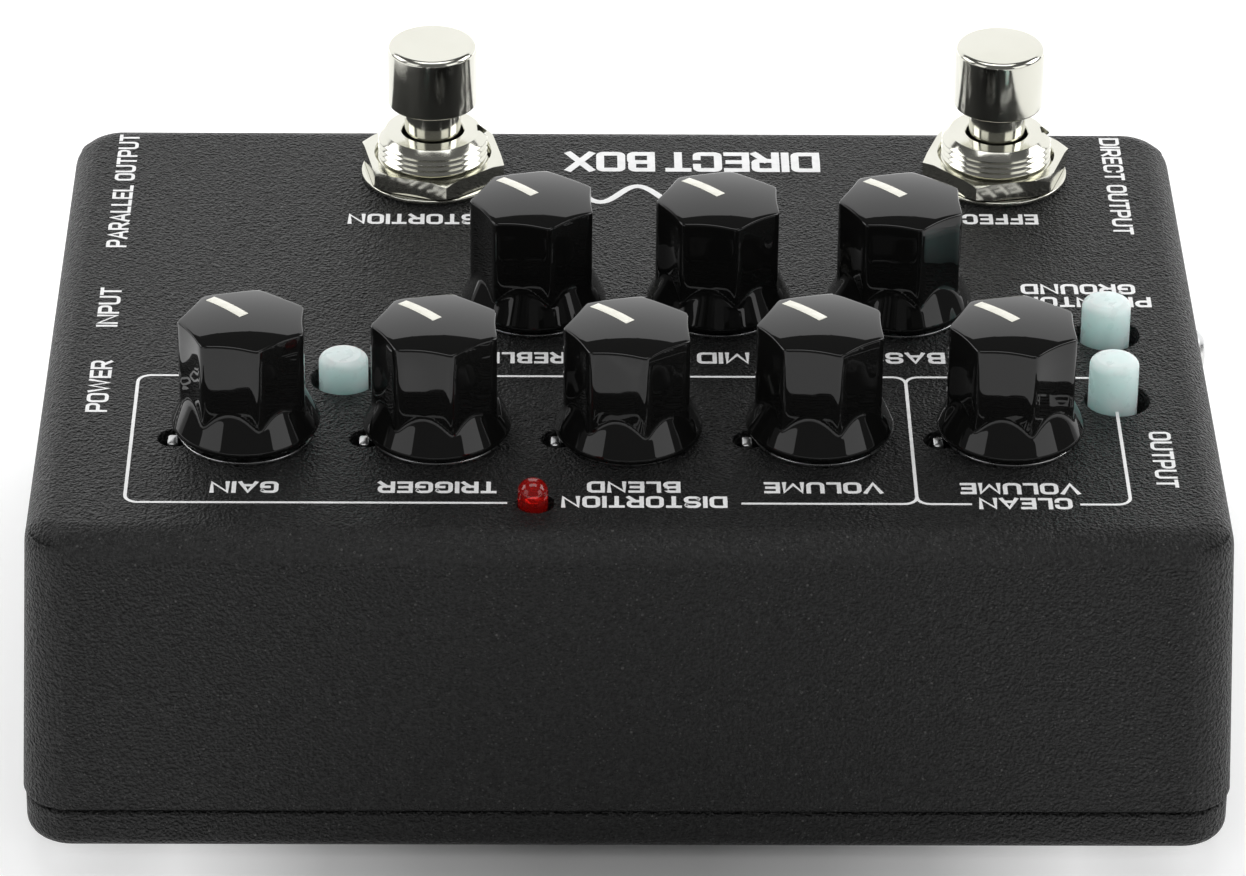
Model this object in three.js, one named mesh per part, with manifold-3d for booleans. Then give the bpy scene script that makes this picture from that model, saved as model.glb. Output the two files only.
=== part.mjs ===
// Bass direct injection box: a die-cast stomp box with eight knobs, three push buttons,
// two footswitches, three 6.35 mm jacks, an XLR socket and a 9 V supply socket.
// Millimetres, +Z up. The origin is under the middle of the box, on the surface it stands on.
// The player stands on the -Y side and the knobs are towards +Y.
import * as THREE from 'three';
import { mergeVertices } from 'three/addons/utils/BufferGeometryUtils.js';
import Module from 'manifold-3d';

const wasm = await Module();
wasm.setup();

// ---------------------------------------------------------------- driving dimensions
const boxWidth = 120.5;
const boxDepth = 89.6;
const panelZ = 38.75;
const footHeight = 3;
const lidHeight = 4.5;
const seamGap = 0.3;
const wall = 2.3;
const panelThickness = 2.6;
const sideDraft = 1.2;
const cornerRadius = 5;
const topFillet = 3;
const gap = 0.1;
const clearance = 0.3;
const overshoot = 1;

const knobPitch = 19.05;
const skirtRadius = 7.3;
const faceRadius = 5.95;
const ridgeCount = 7;
const knobRim = 12;
const knobDome = 12.7;
const pointerTurn = 310;
const frontRowY = 23;
const backRowY = -2.9;
const bassX = -28.2;
const footswitchY = -32.3;
const footswitchX = [20.4, -39.9];
const footswitchNutTurn = [41, 12];
const ledPlace = [9.5, 36.7];
const ledHolePlace = [9.26, 36.7];
const latchTravel = 2;

const jackZ = 19.5;
const boardTop = -10.85;
const boardThickness = 1.6;
const bossX = 55.2;
const bossY = 39.6;
const bossRadius = 3.4;
const feetPlace = [40.3, 35];

const jackNames = ['input', 'parallel_output', 'output'];
const jackSides = [1, 1, -1];
const jackYs = [-2.5, -26, 28];
const supplyY = 14;
const xlrY = -25;
const xlrZ = 19;
const xlrScrewOffset = [9.8, 7.6];

// ---------------------------------------------------------------- finishes
function finish(color, roughness, metalness) {
  return new THREE.MeshStandardMaterial({ color, roughness, metalness });
}

const powderCoat = finish(0x17181a, 0.55, 0.1);
const phenolic = finish(0x0a0a0b, 0.15, 0);
const nickel = finish(0xd9d6d0, 0.15, 1);
const zinc = finish(0xb9bdc2, 0.35, 1);
const blackRubber = finish(0x101010, 0.85, 0);
const blackPlastic = finish(0x141416, 0.5, 0);
const aquaPlastic = finish(0xbfe3e0, 0.3, 0);
const redLens = finish(0xc01010, 0.1, 0);
const boardGreen = finish(0x1f5a34, 0.5, 0);
const batteryWrap = finish(0x2b2d33, 0.4, 0.2);

// ---------------------------------------------------------------- geometry helpers
// A closed three.js geometry as a manifold solid, turned inside out if its faces point in.
function solid(geometry) {
  const bare = geometry.index ? geometry.toNonIndexed() : geometry.clone();
  bare.deleteAttribute('normal');
  bare.deleteAttribute('uv');
  const merged = mergeVertices(bare, 1e-5);
  const at = merged.attributes.position;
  const corners = merged.index.array;
  const kept = [];
  let volume = 0;
  const a = new THREE.Vector3();
  const b = new THREE.Vector3();
  const c = new THREE.Vector3();
  for (let i = 0; i < corners.length; i += 3) {
    const [p, q, r] = [corners[i], corners[i + 1], corners[i + 2]];
    if (p === q || q === r || p === r) continue;
    kept.push(p, q, r);
    a.fromBufferAttribute(at, p);
    b.fromBufferAttribute(at, q);
    c.fromBufferAttribute(at, r);
    volume += a.dot(b.cross(c));
  }
  if (volume < 0) kept.reverse();
  const vertProperties = Float32Array.from(at.array);
  const triVerts = Uint32Array.from(kept);
  return new wasm.Manifold(new wasm.Mesh({ numProp: 3, vertProperties, triVerts }));
}

function cut(body, ...tools) {
  return tools.reduce((left, tool) => left.subtract(tool), body);
}

function join(body, ...others) {
  return others.reduce((left, other) => left.add(other), body);
}

// A body of revolution about Z. The profile is a list of [radius, z] from axis to axis.
function turned(profile, x = 0, y = 0, segments = 16) {
  const points = profile.map(([radius, z]) => new THREE.Vector2(radius, z));
  const geometry = new THREE.LatheGeometry(points, segments);
  geometry.rotateX(Math.PI / 2);
  geometry.translate(x, y, 0);
  return solid(geometry);
}

function drum(radius, low, high, x = 0, y = 0, segments = 16) {
  return turned([[0, low], [radius, low], [radius, high], [0, high]], x, y, segments);
}

// A cylinder along X between two x values.
function lyingDrum(radius, low, high, y = 0, z = 0, segments = 20) {
  const geometry = new THREE.CylinderGeometry(radius, radius, high - low, segments);
  geometry.rotateZ(Math.PI / 2);
  geometry.translate((low + high) / 2, y, z);
  return solid(geometry);
}

function block([x0, x1], [y0, y1], [z0, z1]) {
  const geometry = new THREE.BoxGeometry(x1 - x0, y1 - y0, z1 - z0);
  geometry.translate((x0 + x1) / 2, (y0 + y1) / 2, (z0 + z1) / 2);
  return solid(geometry);
}

function hexagon(acrossFlats, low, high) {
  return drum(acrossFlats / Math.sqrt(3), low, high, 0, 0, 6);
}

// An outline of [x, y] corners made solid between two heights.
function plate(outline, low, high) {
  const shape = new THREE.Shape(outline.map(([x, y]) => new THREE.Vector2(x, y)));
  const geometry = new THREE.ExtrudeGeometry(shape, { depth: high - low, bevelEnabled: false });
  geometry.translate(0, 0, low);
  return solid(geometry);
}

// Rings of points, all of one length, skinned into a closed body with a flat fan at each end.
function skin(rings) {
  const count = rings[0].length;
  const centre = (ring) => [0, 1, 2].map((k) => ring.reduce((sum, p) => sum + p[k], 0) / count);
  const points = [...rings.flat(), centre(rings[0]), centre(rings[rings.length - 1])];
  const foot = points.length - 2;
  const head = points.length - 1;
  const faces = [];
  for (let i = 0; i < count; i += 1) {
    const j = (i + 1) % count;
    for (let k = 0; k + 1 < rings.length; k += 1) {
      const low = k * count;
      const high = low + count;
      faces.push(low + i, low + j, high + j, low + i, high + j, high + i);
    }
    const top = (rings.length - 1) * count;
    faces.push(j, i, foot, top + i, top + j, head);
  }
  const geometry = new THREE.BufferGeometry();
  geometry.setAttribute('position', new THREE.Float32BufferAttribute(points.flat(), 3));
  geometry.setIndex(faces);
  return solid(geometry);
}

// A rounded rectangle ring at height z.
function roundedRing(halfX, halfY, radius, z, steps = 4) {
  const ring = [];
  const signs = [[1, 1], [-1, 1], [-1, -1], [1, -1]];
  signs.forEach(([sx, sy], corner) => {
    for (let k = 0; k <= steps; k += 1) {
      const angle = (corner + k / steps) * Math.PI / 2;
      const x = sx * (halfX - radius) + radius * Math.cos(angle);
      const y = sy * (halfY - radius) + radius * Math.sin(angle);
      ring.push([x, y, z]);
    }
  });
  return ring;
}

// ---------------------------------------------------------------- case
const shellBottom = footHeight + lidHeight + seamGap;
const halfX = boxWidth / 2;
const halfY = boxDepth / 2;

// How far the drafted wall has moved in at height z.
function draftAt(z) {
  return sideDraft * (z - shellBottom) / (panelZ - shellBottom);
}

function drafted(inset, z, radius) {
  const moved = inset + draftAt(z);
  return roundedRing(halfX - moved, halfY - moved, radius, z);
}

function shellOutside() {
  const rings = [drafted(0, shellBottom, cornerRadius)];
  const steps = 4;
  for (let k = 0; k <= steps; k += 1) {
    const angle = k / steps * Math.PI / 2;
    const inset = topFillet * (1 - Math.cos(angle));
    const z = panelZ - topFillet * (1 - Math.sin(angle));
    rings.push(drafted(inset, z, cornerRadius - inset));
  }
  return skin(rings);
}

function shellInside() {
  const low = shellBottom - overshoot;
  const high = panelZ - panelThickness;
  const radius = cornerRadius - wall;
  return skin([drafted(wall, low, radius), drafted(wall, high, radius)]);
}

function cornerPlaces() {
  return [[1, 1], [-1, 1], [-1, -1], [1, -1]].map(([sx, sy]) => [sx * bossX, sy * bossY]);
}

const tabPlace = [7, 1.3];
const tabHoleRadius = 1.5;
const lidScrewHoleRadius = 1.8;
const lidScrewHoleTop = 22;
const bushingRadius = 3.9;
const jackNoseRadius = 5.2;
const supplyNoseRadius = 3.9;
const xlrRadius = 9;
const buttonRadius = 2.5;
const buttonHoleRadius = 3.3;
const ledHoleRadius = 1.85;
const footswitchBushing = 5.9;

// Each knob's x, y and how much higher than nominal it was pushed onto its shaft.
const knobPlaces = {
  gain: [2 * knobPitch, frontRowY, 0.6],
  trigger: [knobPitch, frontRowY, 0.25],
  blend: [0, frontRowY, 0],
  volume: [-knobPitch, frontRowY, 0.4],
  clean_volume: [-2 * knobPitch, frontRowY, 0.3],
  treble: [0.5 * knobPitch, backRowY, 0.4],
  mid: [-0.5 * knobPitch, backRowY, 0.4],
  bass: [bassX, backRowY, 0.4],
};

// Each button's x, y and how far it is in, and the x of its hole: the buttons sit a little off
// the middle of their holes.
const buttonPlaces = {
  shape: { x: 28.7, y: 12.2, sunk: latchTravel, holeX: 28.7 },
  phantom: { x: -49.1, y: 2.65, sunk: 0.75, holeX: -49.3 },
  ground: { x: -48.85, y: 16.1, sunk: 0, holeX: -49.3 },
};

// The outer face of a side wall at height z, measured from the middle.
function sideFace(z) {
  return halfX - draftAt(z);
}

function acrossWall(radius, side, y, z, segments = 20) {
  const face = sideFace(z);
  const ends = [side * (face - 2 * wall), side * (face + wall)].sort((a, b) => a - b);
  return lyingDrum(radius, ends[0], ends[1], y, z, segments);
}

const xlrScrewRadius = 1.2;
const xlrScrewPlaces = [1, -1].map((s) => [xlrY + s * xlrScrewOffset[0], xlrZ + s * xlrScrewOffset[1]]);

function enclosure() {
  const low = panelZ - panelThickness - overshoot;
  const high = panelZ + overshoot;
  const bossTop = panelZ - panelThickness + overshoot;
  const bosses = cornerPlaces().map(([x, y]) => drum(bossRadius, shellBottom, bossTop, x, y));
  const screwHoles = cornerPlaces().map(([x, y]) => {
    return drum(lidScrewHoleRadius, shellBottom - overshoot, lidScrewHoleTop, x, y, 10);
  });
  const bossesInside = bosses.map((boss) => boss.intersect(shellOutside()));
  const body = join(cut(shellOutside(), shellInside()), ...bossesInside);
  const panelHoles = [];
  for (const [x, y] of Object.values(knobPlaces)) {
    panelHoles.push(drum(bushingRadius + clearance, low, high, x, y));
    panelHoles.push(drum(tabHoleRadius, low, high, x + tabPlace[0], y + tabPlace[1], 10));
  }
  for (const { holeX, y } of Object.values(buttonPlaces)) {
    panelHoles.push(drum(buttonHoleRadius, low, high, holeX, y));
  }
  for (const x of footswitchX) {
    panelHoles.push(drum(footswitchBushing + clearance, low, high, x, footswitchY, 20));
  }
  panelHoles.push(drum(ledHoleRadius, low, high, ...ledHolePlace, 12));
  const jackHole = jackNoseRadius + clearance;
  const sideHoles = jackYs.map((y, i) => acrossWall(jackHole, jackSides[i], y, jackZ));
  sideHoles.push(acrossWall(supplyNoseRadius + clearance, 1, supplyY, jackZ));
  sideHoles.push(acrossWall(xlrRadius + clearance, -1, xlrY, xlrZ, 24));
  for (const [y, z] of xlrScrewPlaces) {
    sideHoles.push(acrossWall(xlrScrewRadius + clearance, -1, y, z, 10));
  }
  return cut(body, ...screwHoles, ...panelHoles, ...sideHoles);
}

const lidInset = 0.25;
const lidEdgeRadius = 1.7;
const lidPlate = 2.2;
const lipHeight = 1.4;
const lipThickness = 1.2;
const lidCornerInside = 1.2;
const screwHeadRadius = 3;
const countersinkRim = 0.4;

function bottomPlate() {
  const top = footHeight + lidHeight;
  const rings = [];
  const steps = 3;
  for (let k = 0; k <= steps; k += 1) {
    const angle = k / steps * Math.PI / 2;
    const inset = lidInset + lidEdgeRadius * (1 - Math.sin(angle));
    const z = footHeight + lidEdgeRadius * (1 - Math.cos(angle));
    rings.push(roundedRing(halfX - inset, halfY - inset, cornerRadius - inset, z));
  }
  rings.push(roundedRing(halfX - lidInset, halfY - lidInset, cornerRadius - lidInset, top));
  const lip = wall + clearance;
  const aboveLip = top + lipHeight + overshoot;
  const lipRadius = cornerRadius - lip;
  const lipBody = skin([
    roundedRing(halfX - lip, halfY - lip, lipRadius, top - overshoot),
    roundedRing(halfX - lip, halfY - lip, lipRadius, top + lipHeight),
  ]);
  const recess = lip + lipThickness;
  const recessBody = skin([
    roundedRing(halfX - recess, halfY - recess, lidCornerInside, footHeight + lidPlate),
    roundedRing(halfX - recess, halfY - recess, lidCornerInside, aboveLip),
  ]);
  const aroundBosses = cornerPlaces().map(([x, y]) => {
    return drum(bossRadius + 2 * clearance, top, aboveLip, x, y);
  });
  const posts = cornerPlaces().map(([x, y]) => drum(bossRadius, footHeight + overshoot, top, x, y));
  const countersinks = cornerPlaces().map(([x, y]) => turned([
    [0, footHeight - overshoot],
    [screwHeadRadius + clearance, footHeight - overshoot],
    [screwHeadRadius + clearance, footHeight + countersinkRim],
    [lidScrewHoleRadius, footHeight + lidPlate],
    [lidScrewHoleRadius, top + overshoot],
    [0, top + overshoot],
  ], x, y));
  const hollow = cut(join(skin(rings), lipBody), recessBody, ...aroundBosses);
  return cut(join(hollow, ...posts), ...countersinks);
}

const lidScrewRadius = 1.5;
const lidScrewLength = 15;
const lidScrewSunk = 0.35;

// A cross recess along Z between two heights.
function crossRecess(reach, width, low, high) {
  const long = [-reach, reach];
  const across = [-width / 2, width / 2];
  return join(block(long, across, [low, high]), block(across, long, [low, high]));
}

// A countersunk screw, head down, the lid's underside at z = 0.
function lidScrew() {
  const body = turned([
    [0, lidScrewSunk],
    [screwHeadRadius, lidScrewSunk],
    [lidScrewRadius, lidPlate],
    [lidScrewRadius, lidScrewLength],
    [0, lidScrewLength],
  ]);
  return cut(body, crossRecess(1.6, 0.7, 0, 1.3));
}

const footRadius = 5.8;
const footFlatRadius = 3;
const footShoulder = [4.8, 0.9];
const footEdgeZ = 2.3;

function rubberFoot() {
  return turned([
    [0, 0],
    [footFlatRadius, 0],
    footShoulder,
    [footRadius, footEdgeZ],
    [footRadius, footHeight - gap],
    [0, footHeight - gap],
  ]);
}

// ---------------------------------------------------------------- controls
const skirtGap = 0.7;
const shaftRadius = 3;
const shaftTop = 9.2;
const bushingLength = 4.6;
const dressWasherRadius = 6.9;
const dressWasherTop = 0.4;
const potNutAcrossFlats = 10;
const potNutTop = 2.3;
const potCanRadius = 8.1;
const potShaftFoot = 2.4;
const tabWidth = 1.8;
const tabThickness = 1.1;
const tabSunk = 0.5;

// The can, the threaded bushing, the dress washer, the nut and the locating tab of one
// potentiometer. z = 0 is the face of the panel.
function potentiometer() {
  const back = -panelThickness - gap;
  const can = drum(potCanRadius, boardTop + gap, back);
  const bushing = drum(bushingRadius, back - overshoot, bushingLength, 0, 0, 14);
  const washer = drum(dressWasherRadius, gap, dressWasherTop);
  const nut = hexagon(potNutAcrossFlats, gap, potNutTop);
  const tab = block(
    [tabPlace[0] - tabThickness + gap, tabPlace[0] + gap],
    [tabPlace[1] - tabWidth / 2, tabPlace[1] + tabWidth / 2],
    [back - tabSunk, -tabSunk],
  );
  const boreFoot = boardTop + potShaftFoot - clearance;
  const bore = drum(shaftRadius + clearance, boreFoot, bushingLength + overshoot, 0, 0, 14);
  return cut(join(can, bushing, washer, nut, tab), bore);
}

function potShaft() {
  return drum(shaftRadius, boardTop + potShaftFoot, shaftTop, 0, 0, 14);
}

// The radius of the knob body at one angle from a ridge: a flat face lies between each two
// ridges.
function facetedRadius(angle) {
  const sector = 2 * Math.PI / ridgeCount;
  const fromRidge = Math.abs(angle - Math.round(angle / sector) * sector);
  return faceRadius / Math.cos(sector / 2 - fromRidge);
}

// An outline of the knob at height z, scaled towards its axis. Low down the round skirt
// stands out past the faces.
function knobRing(z, skirt, scale = 1) {
  const count = 4 * ridgeCount;
  const ring = [];
  for (let i = 0; i < count; i += 1) {
    const angle = i / count * 2 * Math.PI;
    const radius = scale * Math.max(skirt, facetedRadius(angle));
    const turn = angle + THREE.MathUtils.degToRad(pointerTurn);
    ring.push([radius * Math.cos(turn), radius * Math.sin(turn), z]);
  }
  return ring;
}

const skirtFootRadius = 7;
const skirtShoulder = 1;
const skirtTop = 3.85;
const knobHollowRadius = 6.05;
const knobHeadroom = 0.4;

// The height of the knob's domed top at a share of its radius.
function domeZ(share) {
  return knobDome - (knobDome - knobRim) * share * share;
}

function knob() {
  const outside = skin([
    knobRing(skirtGap, skirtFootRadius),
    knobRing(skirtShoulder, skirtRadius),
    knobRing(skirtTop, faceRadius),
    knobRing(knobRim, 0),
    knobRing(domeZ(0.5), 0, 0.5),
    knobRing(knobDome, 0, 0.1),
  ]);
  const hollow = drum(knobHollowRadius, 0, potNutTop + knobHeadroom);
  const counterboreTop = bushingLength + knobHeadroom;
  const counterbore = drum(bushingRadius + clearance, 2, counterboreTop, 0, 0, 14);
  const bore = drum(shaftRadius + clearance, 4, shaftTop + knobHeadroom, 0, 0, 14);
  return cut(outside, hollow, counterbore, bore);
}

const stompTop = 15.45;
const stompCapHeight = 6.85;
const stompCapRadius = 4.75;
const stompNeckRadius = 3;
const bushingTop = 5.25;
const boreRadius = 3.3;
const footswitchWasherTop = 0.55;
const footswitchNutTop = 2.6;
const footswitchNutAcrossFlats = 14;
const footswitchNutChamfer = [0.9, 0.3];
const footswitchWasherRadius = 7.65;
const footswitchCan = { radius: 6.7, bottom: -10.1, floor: -9.2 };
const bushingChamfer = [0.85, 0.55];
const keyway = { inner: 5, width: 1.4 };
const stompFoot = -5.9;
const stompEdge = [0.55, 0.6];

function footswitchBody() {
  const back = -panelThickness - gap;
  const can = drum(footswitchCan.radius, footswitchCan.bottom, back);
  const bushing = turned([
    [0, back - overshoot],
    [footswitchBushing, back - overshoot],
    [footswitchBushing, bushingTop - bushingChamfer[1]],
    [footswitchBushing - bushingChamfer[0], bushingTop],
    [0, bushingTop],
  ], 0, 0, 24);
  const bore = drum(boreRadius, footswitchCan.floor, bushingTop + overshoot);
  const slot = block(
    [-footswitchBushing - overshoot, -keyway.inner],
    [-keyway.width / 2, keyway.width / 2],
    [back + gap, bushingTop + overshoot],
  );
  return cut(join(can, bushing), bore, slot);
}

function footswitchWasher() {
  const outside = drum(footswitchWasherRadius, gap, footswitchWasherTop, 0, 0, 24);
  return cut(outside, drum(footswitchBushing + clearance, 0, overshoot, 0, 0, 24));
}

function footswitchNut() {
  const low = footswitchWasherTop + gap;
  const high = footswitchNutTop;
  const corner = footswitchNutAcrossFlats / Math.sqrt(3);
  const [inset, drop] = footswitchNutChamfer;
  const chamfered = turned([
    [0, low],
    [corner - inset, low],
    [corner, low + drop],
    [corner, high - drop],
    [corner - inset, high],
    [0, high],
  ], 0, 0, 24);
  const body = hexagon(footswitchNutAcrossFlats, low, high).intersect(chamfered);
  return cut(body, drum(footswitchBushing + clearance, 0, high + overshoot, 0, 0, 24));
}

// The polished cap and the stem under it, turned in one piece.
function stompButton() {
  return turned([
    [0, stompFoot],
    [stompNeckRadius, stompFoot],
    [stompNeckRadius, stompTop - stompCapHeight],
    [stompCapRadius, stompTop - stompCapHeight],
    [stompCapRadius, stompTop - stompEdge[1]],
    [stompCapRadius - stompEdge[0], stompTop],
    [0, stompTop],
  ], 0, 0, 24);
}

const buttonTop = 4.8;
const buttonSkirt = -4.2;
const buttonStem = -7.4;
const buttonStemRadius = 1.2;
const buttonEdge = [0.6, 1.2];
const pushSwitchHalf = 3.3;
const pushSwitchTop = -7;
const pushSwitchBore = { radius: 1.55, floor: -10.2 };

function pushButton() {
  return turned([
    [0, buttonStem],
    [buttonStemRadius, buttonStem],
    [buttonStemRadius, buttonSkirt],
    [buttonRadius, buttonSkirt],
    [buttonRadius, buttonTop - buttonEdge[1]],
    [buttonRadius - buttonEdge[0], buttonTop],
    [0, buttonTop],
  ]);
}

function pushSwitch() {
  const across = [-pushSwitchHalf, pushSwitchHalf];
  const body = block(across, across, [boardTop + gap, pushSwitchTop]);
  const { radius, floor } = pushSwitchBore;
  return cut(body, drum(radius, floor, pushSwitchTop + overshoot, 0, 0, 12));
}

const ledRadius = 1.5;
const ledTop = 2.6;
const ledFlange = { radius: 1.85, low: -4, high: -3.1 };
const ledLeadPitch = 2.54;
const ledLeadHalf = 0.25;

function led() {
  const lens = turned([
    [0, ledFlange.low],
    [ledFlange.radius, ledFlange.low],
    [ledFlange.radius, ledFlange.high],
    [ledRadius, ledFlange.high],
    [ledRadius, ledTop - 1.4],
    [ledRadius - 0.4, ledTop - 0.4],
    [0, ledTop],
  ], 0, 0, 12);
  const across = [-ledLeadHalf, ledLeadHalf];
  const leads = [-ledLeadPitch / 2, ledLeadPitch / 2].map((x) => {
    const width = [x - ledLeadHalf, x + ledLeadHalf];
    return block(width, across, [boardTop + gap, ledFlange.low + 0.2]);
  });
  return join(lens, ...leads);
}

// ---------------------------------------------------------------- inside
function mainBoard() {
  const outline = [
    [53.5, -20],
    [53.5, 33],
    [49, 33],
    [49, 39],
    [-49, 39],
    [-49, 33],
    [-53.5, 33],
    [-53.5, -12],
    [-41, -12],
    [-41, -20],
  ];
  return plate(outline, boardTop - boardThickness, boardTop);
}

// Each socket's nose points to +X and x = 0 is the outer face of the side wall.
const socketBack = -wall - 0.5;
const jack = { length: 22, halfWidth: 7.75, halfHeight: 6.5, boreRadius: 3.4, boreDepth: 19.5, proud: 0.6 };
const supply = { length: 11, halfWidth: 4.5, low: -5, high: 6.5, boreRadius: 3.1, boreDepth: 7, proud: 0.2 };
const xlr = { length: 15, sides: [-12.1, 10.9], low: -9.6, high: 9.3, boreRadius: 7.9, boreDepth: 11.8 };
const xlrProud = 0.3;
const xlrScrewBore = { radius: 1.45, depth: 7 };

function socketNose(radius, proud, segments = 20) {
  return lyingDrum(radius, socketBack - overshoot, proud, 0, 0, segments);
}

function socketBore(radius, depth, segments = 16) {
  return lyingDrum(radius, socketBack - depth, 2 * overshoot, 0, 0, segments);
}

function phoneJack() {
  const across = [-jack.halfWidth, jack.halfWidth];
  const body = block([socketBack - jack.length, socketBack], across, [-jack.halfHeight, jack.halfHeight]);
  return cut(join(body, socketNose(jackNoseRadius, jack.proud)), socketBore(jack.boreRadius, jack.boreDepth));
}

function supplySocket() {
  const across = [-supply.halfWidth, supply.halfWidth];
  const body = block([socketBack - supply.length, socketBack], across, [supply.low, supply.high]);
  const nose = socketNose(supplyNoseRadius, supply.proud);
  return cut(join(body, nose), socketBore(supply.boreRadius, supply.boreDepth));
}

// The male XLR receptacle: a shell through the wall and a moulded block behind it.
function xlrSocket() {
  const body = block([socketBack - xlr.length, socketBack], xlr.sides, [xlr.low, xlr.high]);
  const shell = socketNose(xlrRadius, xlrProud, 24);
  const { radius, depth } = xlrScrewBore;
  const screwHoles = [1, -1].map((s) => {
    const [y, z] = [-s * xlrScrewOffset[0], s * xlrScrewOffset[1]];
    return lyingDrum(radius, socketBack - depth, 2 * overshoot, y, z, 12);
  });
  return cut(join(body, shell), socketBore(xlr.boreRadius, xlr.boreDepth, 24), ...screwHoles);
}

const panHead = { radius: 2.4, rimRadius: 2.2, rim: 1, top: 1.8, seat: 0.2 };
const panScrewLength = 8;

// A pan-head screw along +X, with a cross recess in its head.
function panScrew() {
  const head = new THREE.LatheGeometry([
    new THREE.Vector2(0, panHead.seat),
    new THREE.Vector2(panHead.radius, panHead.seat),
    new THREE.Vector2(panHead.rimRadius, panHead.rim),
    new THREE.Vector2(0, panHead.top),
  ], 16);
  head.rotateZ(-Math.PI / 2);
  const recess = [
    block([panHead.rim, 2 * panHead.rim], [-1.3, 1.3], [-0.3, 0.3]),
    block([panHead.rim, 2 * panHead.rim], [-0.3, 0.3], [-1.3, 1.3]),
  ];
  const thread = lyingDrum(xlrScrewRadius, -panScrewLength, 3 * panHead.seat, 0, 0, 10);
  return cut(join(solid(head), thread), ...recess);
}

const batteryX = [-24, 24.3];
const batteryY = [-15, 11.5];
const batteryZ = [5.9, 23.4];
const terminalPitch = 12.9;
const terminal = { radius: 2.9, length: 2.6 };
const snapThickness = 1.5;
const snapInset = [1, 2.45];

function battery() {
  const middleY = (batteryY[0] + batteryY[1]) / 2;
  const middleZ = (batteryZ[0] + batteryZ[1]) / 2;
  const terminals = [-terminalPitch / 2, terminalPitch / 2].map((y) => {
    const x = batteryX[1];
    return lyingDrum(terminal.radius, x - overshoot, x + terminal.length, middleY + y, middleZ, 16);
  });
  return join(block(batteryX, batteryY, batteryZ), ...terminals);
}

// The plate that snaps over the battery's terminals.
function batterySnap() {
  const x = batteryX[1] + terminal.length + clearance;
  const [insetY, insetZ] = snapInset;
  return block(
    [x, x + snapThickness],
    [batteryY[0] + insetY, batteryY[1] - insetY],
    [batteryZ[0] + insetZ, batteryZ[1] - insetZ],
  );
}

// ---------------------------------------------------------------- assembly
const group = new THREE.Group();

function piece(name, body, material, parent) {
  const { vertProperties, triVerts } = body.getMesh();
  const geometry = new THREE.BufferGeometry();
  geometry.setAttribute('position', new THREE.BufferAttribute(vertProperties, 3));
  geometry.setIndex(new THREE.BufferAttribute(triVerts, 1));
  geometry.computeVertexNormals();
  const mesh = new THREE.Mesh(geometry, material);
  mesh.name = name;
  parent.add(mesh);
}

function station(x, y, z) {
  const here = new THREE.Group();
  here.position.set(x, y, z);
  group.add(here);
  return here;
}

piece('enclosure', enclosure(), powderCoat, group);
piece('bottom_plate', bottomPlate(), powderCoat, group);

cornerPlaces().forEach(([x, y], i) => {
  piece(`lid_screw_${i + 1}`, lidScrew(), zinc, station(x, y, footHeight));
  const foot = station(Math.sign(x) * feetPlace[0], Math.sign(y) * feetPlace[1], 0);
  piece(`rubber_foot_${i + 1}`, rubberFoot(), blackRubber, foot);
});

for (const [name, [x, y, lift]] of Object.entries(knobPlaces)) {
  const here = station(x, y, panelZ);
  piece(`potentiometer_${name}`, potentiometer(), zinc, here);
  piece(`pot_shaft_${name}`, potShaft(), zinc, here);
  piece(`knob_${name}`, knob(), phenolic, station(x, y, panelZ + lift));
}

['distortion', 'effect'].forEach((name, i) => {
  const here = station(footswitchX[i], footswitchY, panelZ);
  piece(`footswitch_body_${name}`, footswitchBody(), nickel, here);
  piece(`footswitch_washer_${name}`, footswitchWasher(), nickel, here);
  const turnedHere = station(footswitchX[i], footswitchY, panelZ);
  turnedHere.rotation.z = THREE.MathUtils.degToRad(footswitchNutTurn[i]);
  piece(`footswitch_nut_${name}`, footswitchNut(), nickel, turnedHere);
  piece(`stomp_button_${name}`, stompButton(), nickel, here);
});

for (const [name, { x, y, sunk }] of Object.entries(buttonPlaces)) {
  piece(`push_switch_${name}`, pushSwitch(), blackPlastic, station(x, y, panelZ));
  piece(`push_button_${name}`, pushButton(), aquaPlastic, station(x, y, panelZ - sunk));
}

piece('status_led', led(), redLens, station(...ledPlace, panelZ));
piece('main_board', mainBoard(), boardGreen, station(0, 0, panelZ));

jackNames.forEach((name, i) => {
  const here = station(jackSides[i] * sideFace(jackZ), jackYs[i], jackZ);
  here.rotation.z = jackSides[i] > 0 ? 0 : Math.PI;
  piece(`jack_${name}`, phoneJack(), blackPlastic, here);
});
piece('supply_socket', supplySocket(), blackPlastic, station(sideFace(jackZ), supplyY, jackZ));

const xlrPlace = station(-sideFace(xlrZ), xlrY, xlrZ);
xlrPlace.rotation.z = Math.PI;
piece('xlr_socket', xlrSocket(), zinc, xlrPlace);
xlrScrewPlaces.forEach(([y, z], i) => {
  const here = station(-sideFace(z), y, z);
  here.rotation.z = Math.PI;
  piece(`xlr_screw_${i + 1}`, panScrew(), zinc, here);
});

piece('battery', battery(), batteryWrap, group);
piece('battery_snap', batterySnap(), blackPlastic, group);

export default group;
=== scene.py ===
import math

import bmesh
import bpy
from mathutils import Matrix, Vector


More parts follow.
